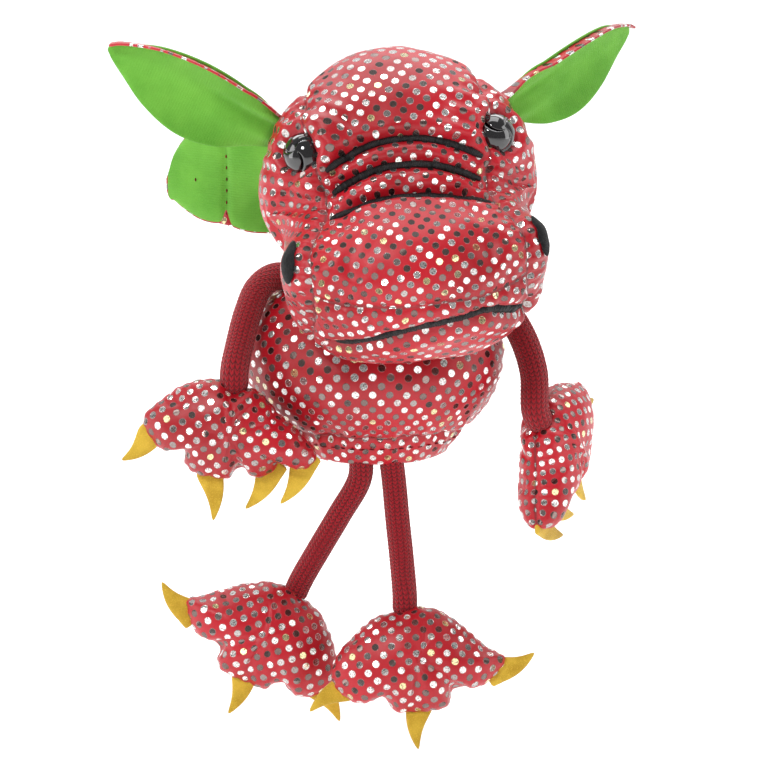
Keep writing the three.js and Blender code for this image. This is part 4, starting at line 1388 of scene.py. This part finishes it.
def make_paw(limb):
    kind, side, name = limb["kind"], limb["side"], limb["paw"]
    drop = 0.53 * kind["cord"] + 0.4
    outline = kind["outline"] if side > 0 else [(-x, y) for x, y in reversed(kind["outline"])]
    handed = lambda p: (side * p[0], p[1] - drop)
    form = StuffedForm(
        [(x, y - drop) for x, y in outline], handed(kind["centre"]),
        lambda x: kind["thickness"] / 2 + 0 * x, lambda x: 2.1 + 0 * x,
    )
    matrix = placed(limb["route"][-1], limb["along"], limb["facing"])
    skin = wrapped(f"{name}_skin", form, matrix, 72, 24, FOIL, name, seam_turns=(0,))
    inverse = matrix.inverted()
    lay_flat(skin, lambda p: (inverse @ Vector(p)).x)
    rim = world_points(matrix, form.points(np.linspace(0, 1, 500), 0))
    seam = Lines([rim])
    held = np.exp(-((seam.measure(coordinates(skin))[0] / 1.6) ** 2))
    stuff(skin, held, 3.5, 1.5)
    refine(skin, 2)
    folds = []
    for face in (1, -1):
        for start, end in kind["folds"]:
            a, b = np.array(handed(start)), np.array(handed(end))
            t = np.linspace(0, 1, 24)[:, None]
            line = a + (b - a) * t
            rise = face * np.sqrt(np.clip(t[:, 0], 0, 1)) * kind["thickness"] * 0.42
            folds.append(world_points(matrix, np.concatenate([line, rise[:, None]], 1)))
    creases = Lines(folds)

    def lobes(points, out):
        off, run, _ = creases.measure(points)
        fade = np.clip(1.15 - run / 13, 0, 1)
        lift = -1.5 * fade * np.exp(-((off / 2.0) ** 2)) + 0.5 * fade * np.exp(-(((off - 5) / 2.4) ** 2))
        # The second value is painted shade along the folds between the lobes.
        return lift, 0.35 * fade * np.exp(-((off / 1.0) ** 2))

    sew(skin, seam, depth=0.7, width=1.0, pucker=0.17, pitch=3.4, uneven=0.6, extra=lobes)
    upper, lower = kind["nodes"]
    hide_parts(f"{name}_{upper}", f"{name}_{lower}", f"{name}_stuffing")
    for number, (base, tip) in enumerate(kind["claws"], 1):
        make_claw(name, number, matrix, handed(base), handed(tip), side)


def make_claw(name, number, matrix, base, tip, side):
    base, tip = np.array(base), np.array(tip)
    along = (tip - base) / np.linalg.norm(tip - base)
    aside = np.array([-along[1], along[0]])
    t = np.linspace(-0.34, 1, 40)
    length = np.linalg.norm(tip - base)
    bend = aside * (0.95 * side)
    centre = base + np.outer(t * length, along) + np.outer(np.sin(np.clip(t, 0, 1) * math.pi), bend)
    half = 3.75 * np.where(t < 0, 1.0, (1 - np.clip(t, 0, 1) ** 1.25) * 0.93 + 0.07)
    half = half * rounded(40, 2.2)
    thick = 0.88 * rounded(40, 1.6) * np.where(t > 0.8, 1 - 0.3 * (t - 0.8) / 0.2, 1)
    path = world_points(matrix, np.concatenate([centre, 0.25 * np.sin(3 * t + number)[:, None]], 1))
    claw = sleeve(
        f"{name}_felt_claw_{number}", path, np.array(matrix)[:3, 2], half, thick, 24, CLAW_FELT, name, square=3.2
    )
    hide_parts(f"{name}_claw_{number}")


# ---------- studio ----------
def make_studio():
    bm = bmesh.new()
    line = [(-3.0, 0.0)] + [(1.3, 0.0)]
    line += [(1.3 + 0.7 * math.sin(a), 0.7 - 0.7 * math.cos(a)) for a in np.linspace(0, math.pi / 2, 12)[1:]]
    line += [(2.0, 3.0)]
    verts = [bm.verts.new((-3.5, y, z - 0.0825)) for y, z in line]
    edges = [bm.edges.new(pair) for pair in zip(verts, verts[1:])]
    made = bmesh.ops.extrude_edge_only(bm, edges=edges)
    moved = [g for g in made["geom"] if isinstance(g, bmesh.types.BMVert)]
    bmesh.ops.translate(bm, verts=moved, vec=(7, 0, 0))
    bmesh.ops.recalc_face_normals(bm, faces=bm.faces)
    mesh = bpy.data.meshes.new("floor")
    bm.to_mesh(mesh)
    bm.free()
    for polygon in mesh.polygons:
        polygon.use_smooth = True
    floor = bpy.data.objects.new("floor", mesh)
    bpy.context.scene.collection.objects.link(floor)
    paper = Finish("floor_paper", "stage")
    cloud = paper.speckle(paper.place(), 3, 2)
    paper.surface(
        Base_Color=paper.blend(cloud, (0.86, 0.86, 0.86), (0.88, 0.88, 0.88)),
        Roughness=0.9,
        Emission_Color=(1.0, 1.0, 1.0),
        Emission_Strength=0.42,
    )
    mesh.materials.append(paper.material)

    def panel(name, at, size, power, colour=(1, 1, 1)):
        light = bpy.data.lights.new(name, "AREA")
        light.shape = "RECTANGLE"
        light.size, light.size_y = size
        light.energy = power
        light.color = colour
        lamp = bpy.data.objects.new(name, light)
        lamp.location = at
        aim = Vector((0, 0, 0.03)) - Vector(at)
        lamp.rotation_euler = aim.to_track_quat("-Z", "Y").to_euler()
        bpy.context.scene.collection.objects.link(lamp)

    panel("key", (-0.45, -0.95, 0.95), (0.22, 0.22), 7)
    panel("left", (-1.2, -0.25, 0.35), (0.5, 1.1), 5.5)
    panel("right", (1.2, -0.25, 0.45), (0.5, 1.1), 4.5)
    panel("top", (0.0, 0.15, 1.4), (1.3, 0.7), 9)
    panel("backdrop", (0.0, 0.75, 1.1), (2.0, 0.4), 9)
    world = bpy.data.worlds.new("studio")
    bpy.context.scene.world = world
    world.use_nodes = True
    world.node_tree.nodes["Background"].inputs["Color"].default_value = (1, 1, 1, 1)
    world.node_tree.nodes["Background"].inputs["Strength"].default_value = 0.3


# ---------- making ----------
for cord_name, cord_limb in LIMBS.items():
    make_cord(cord_name, cord_limb)
make_torso()
make_lining()
make_neck()
make_face(Ground(make_head()))
for side_name, side_sign in SIDES:
    make_ear(side_name, side_sign)
    make_wing(side_name, side_sign)
for paw_limb in LIMBS.values():
    make_paw(paw_limb)
make_studio()
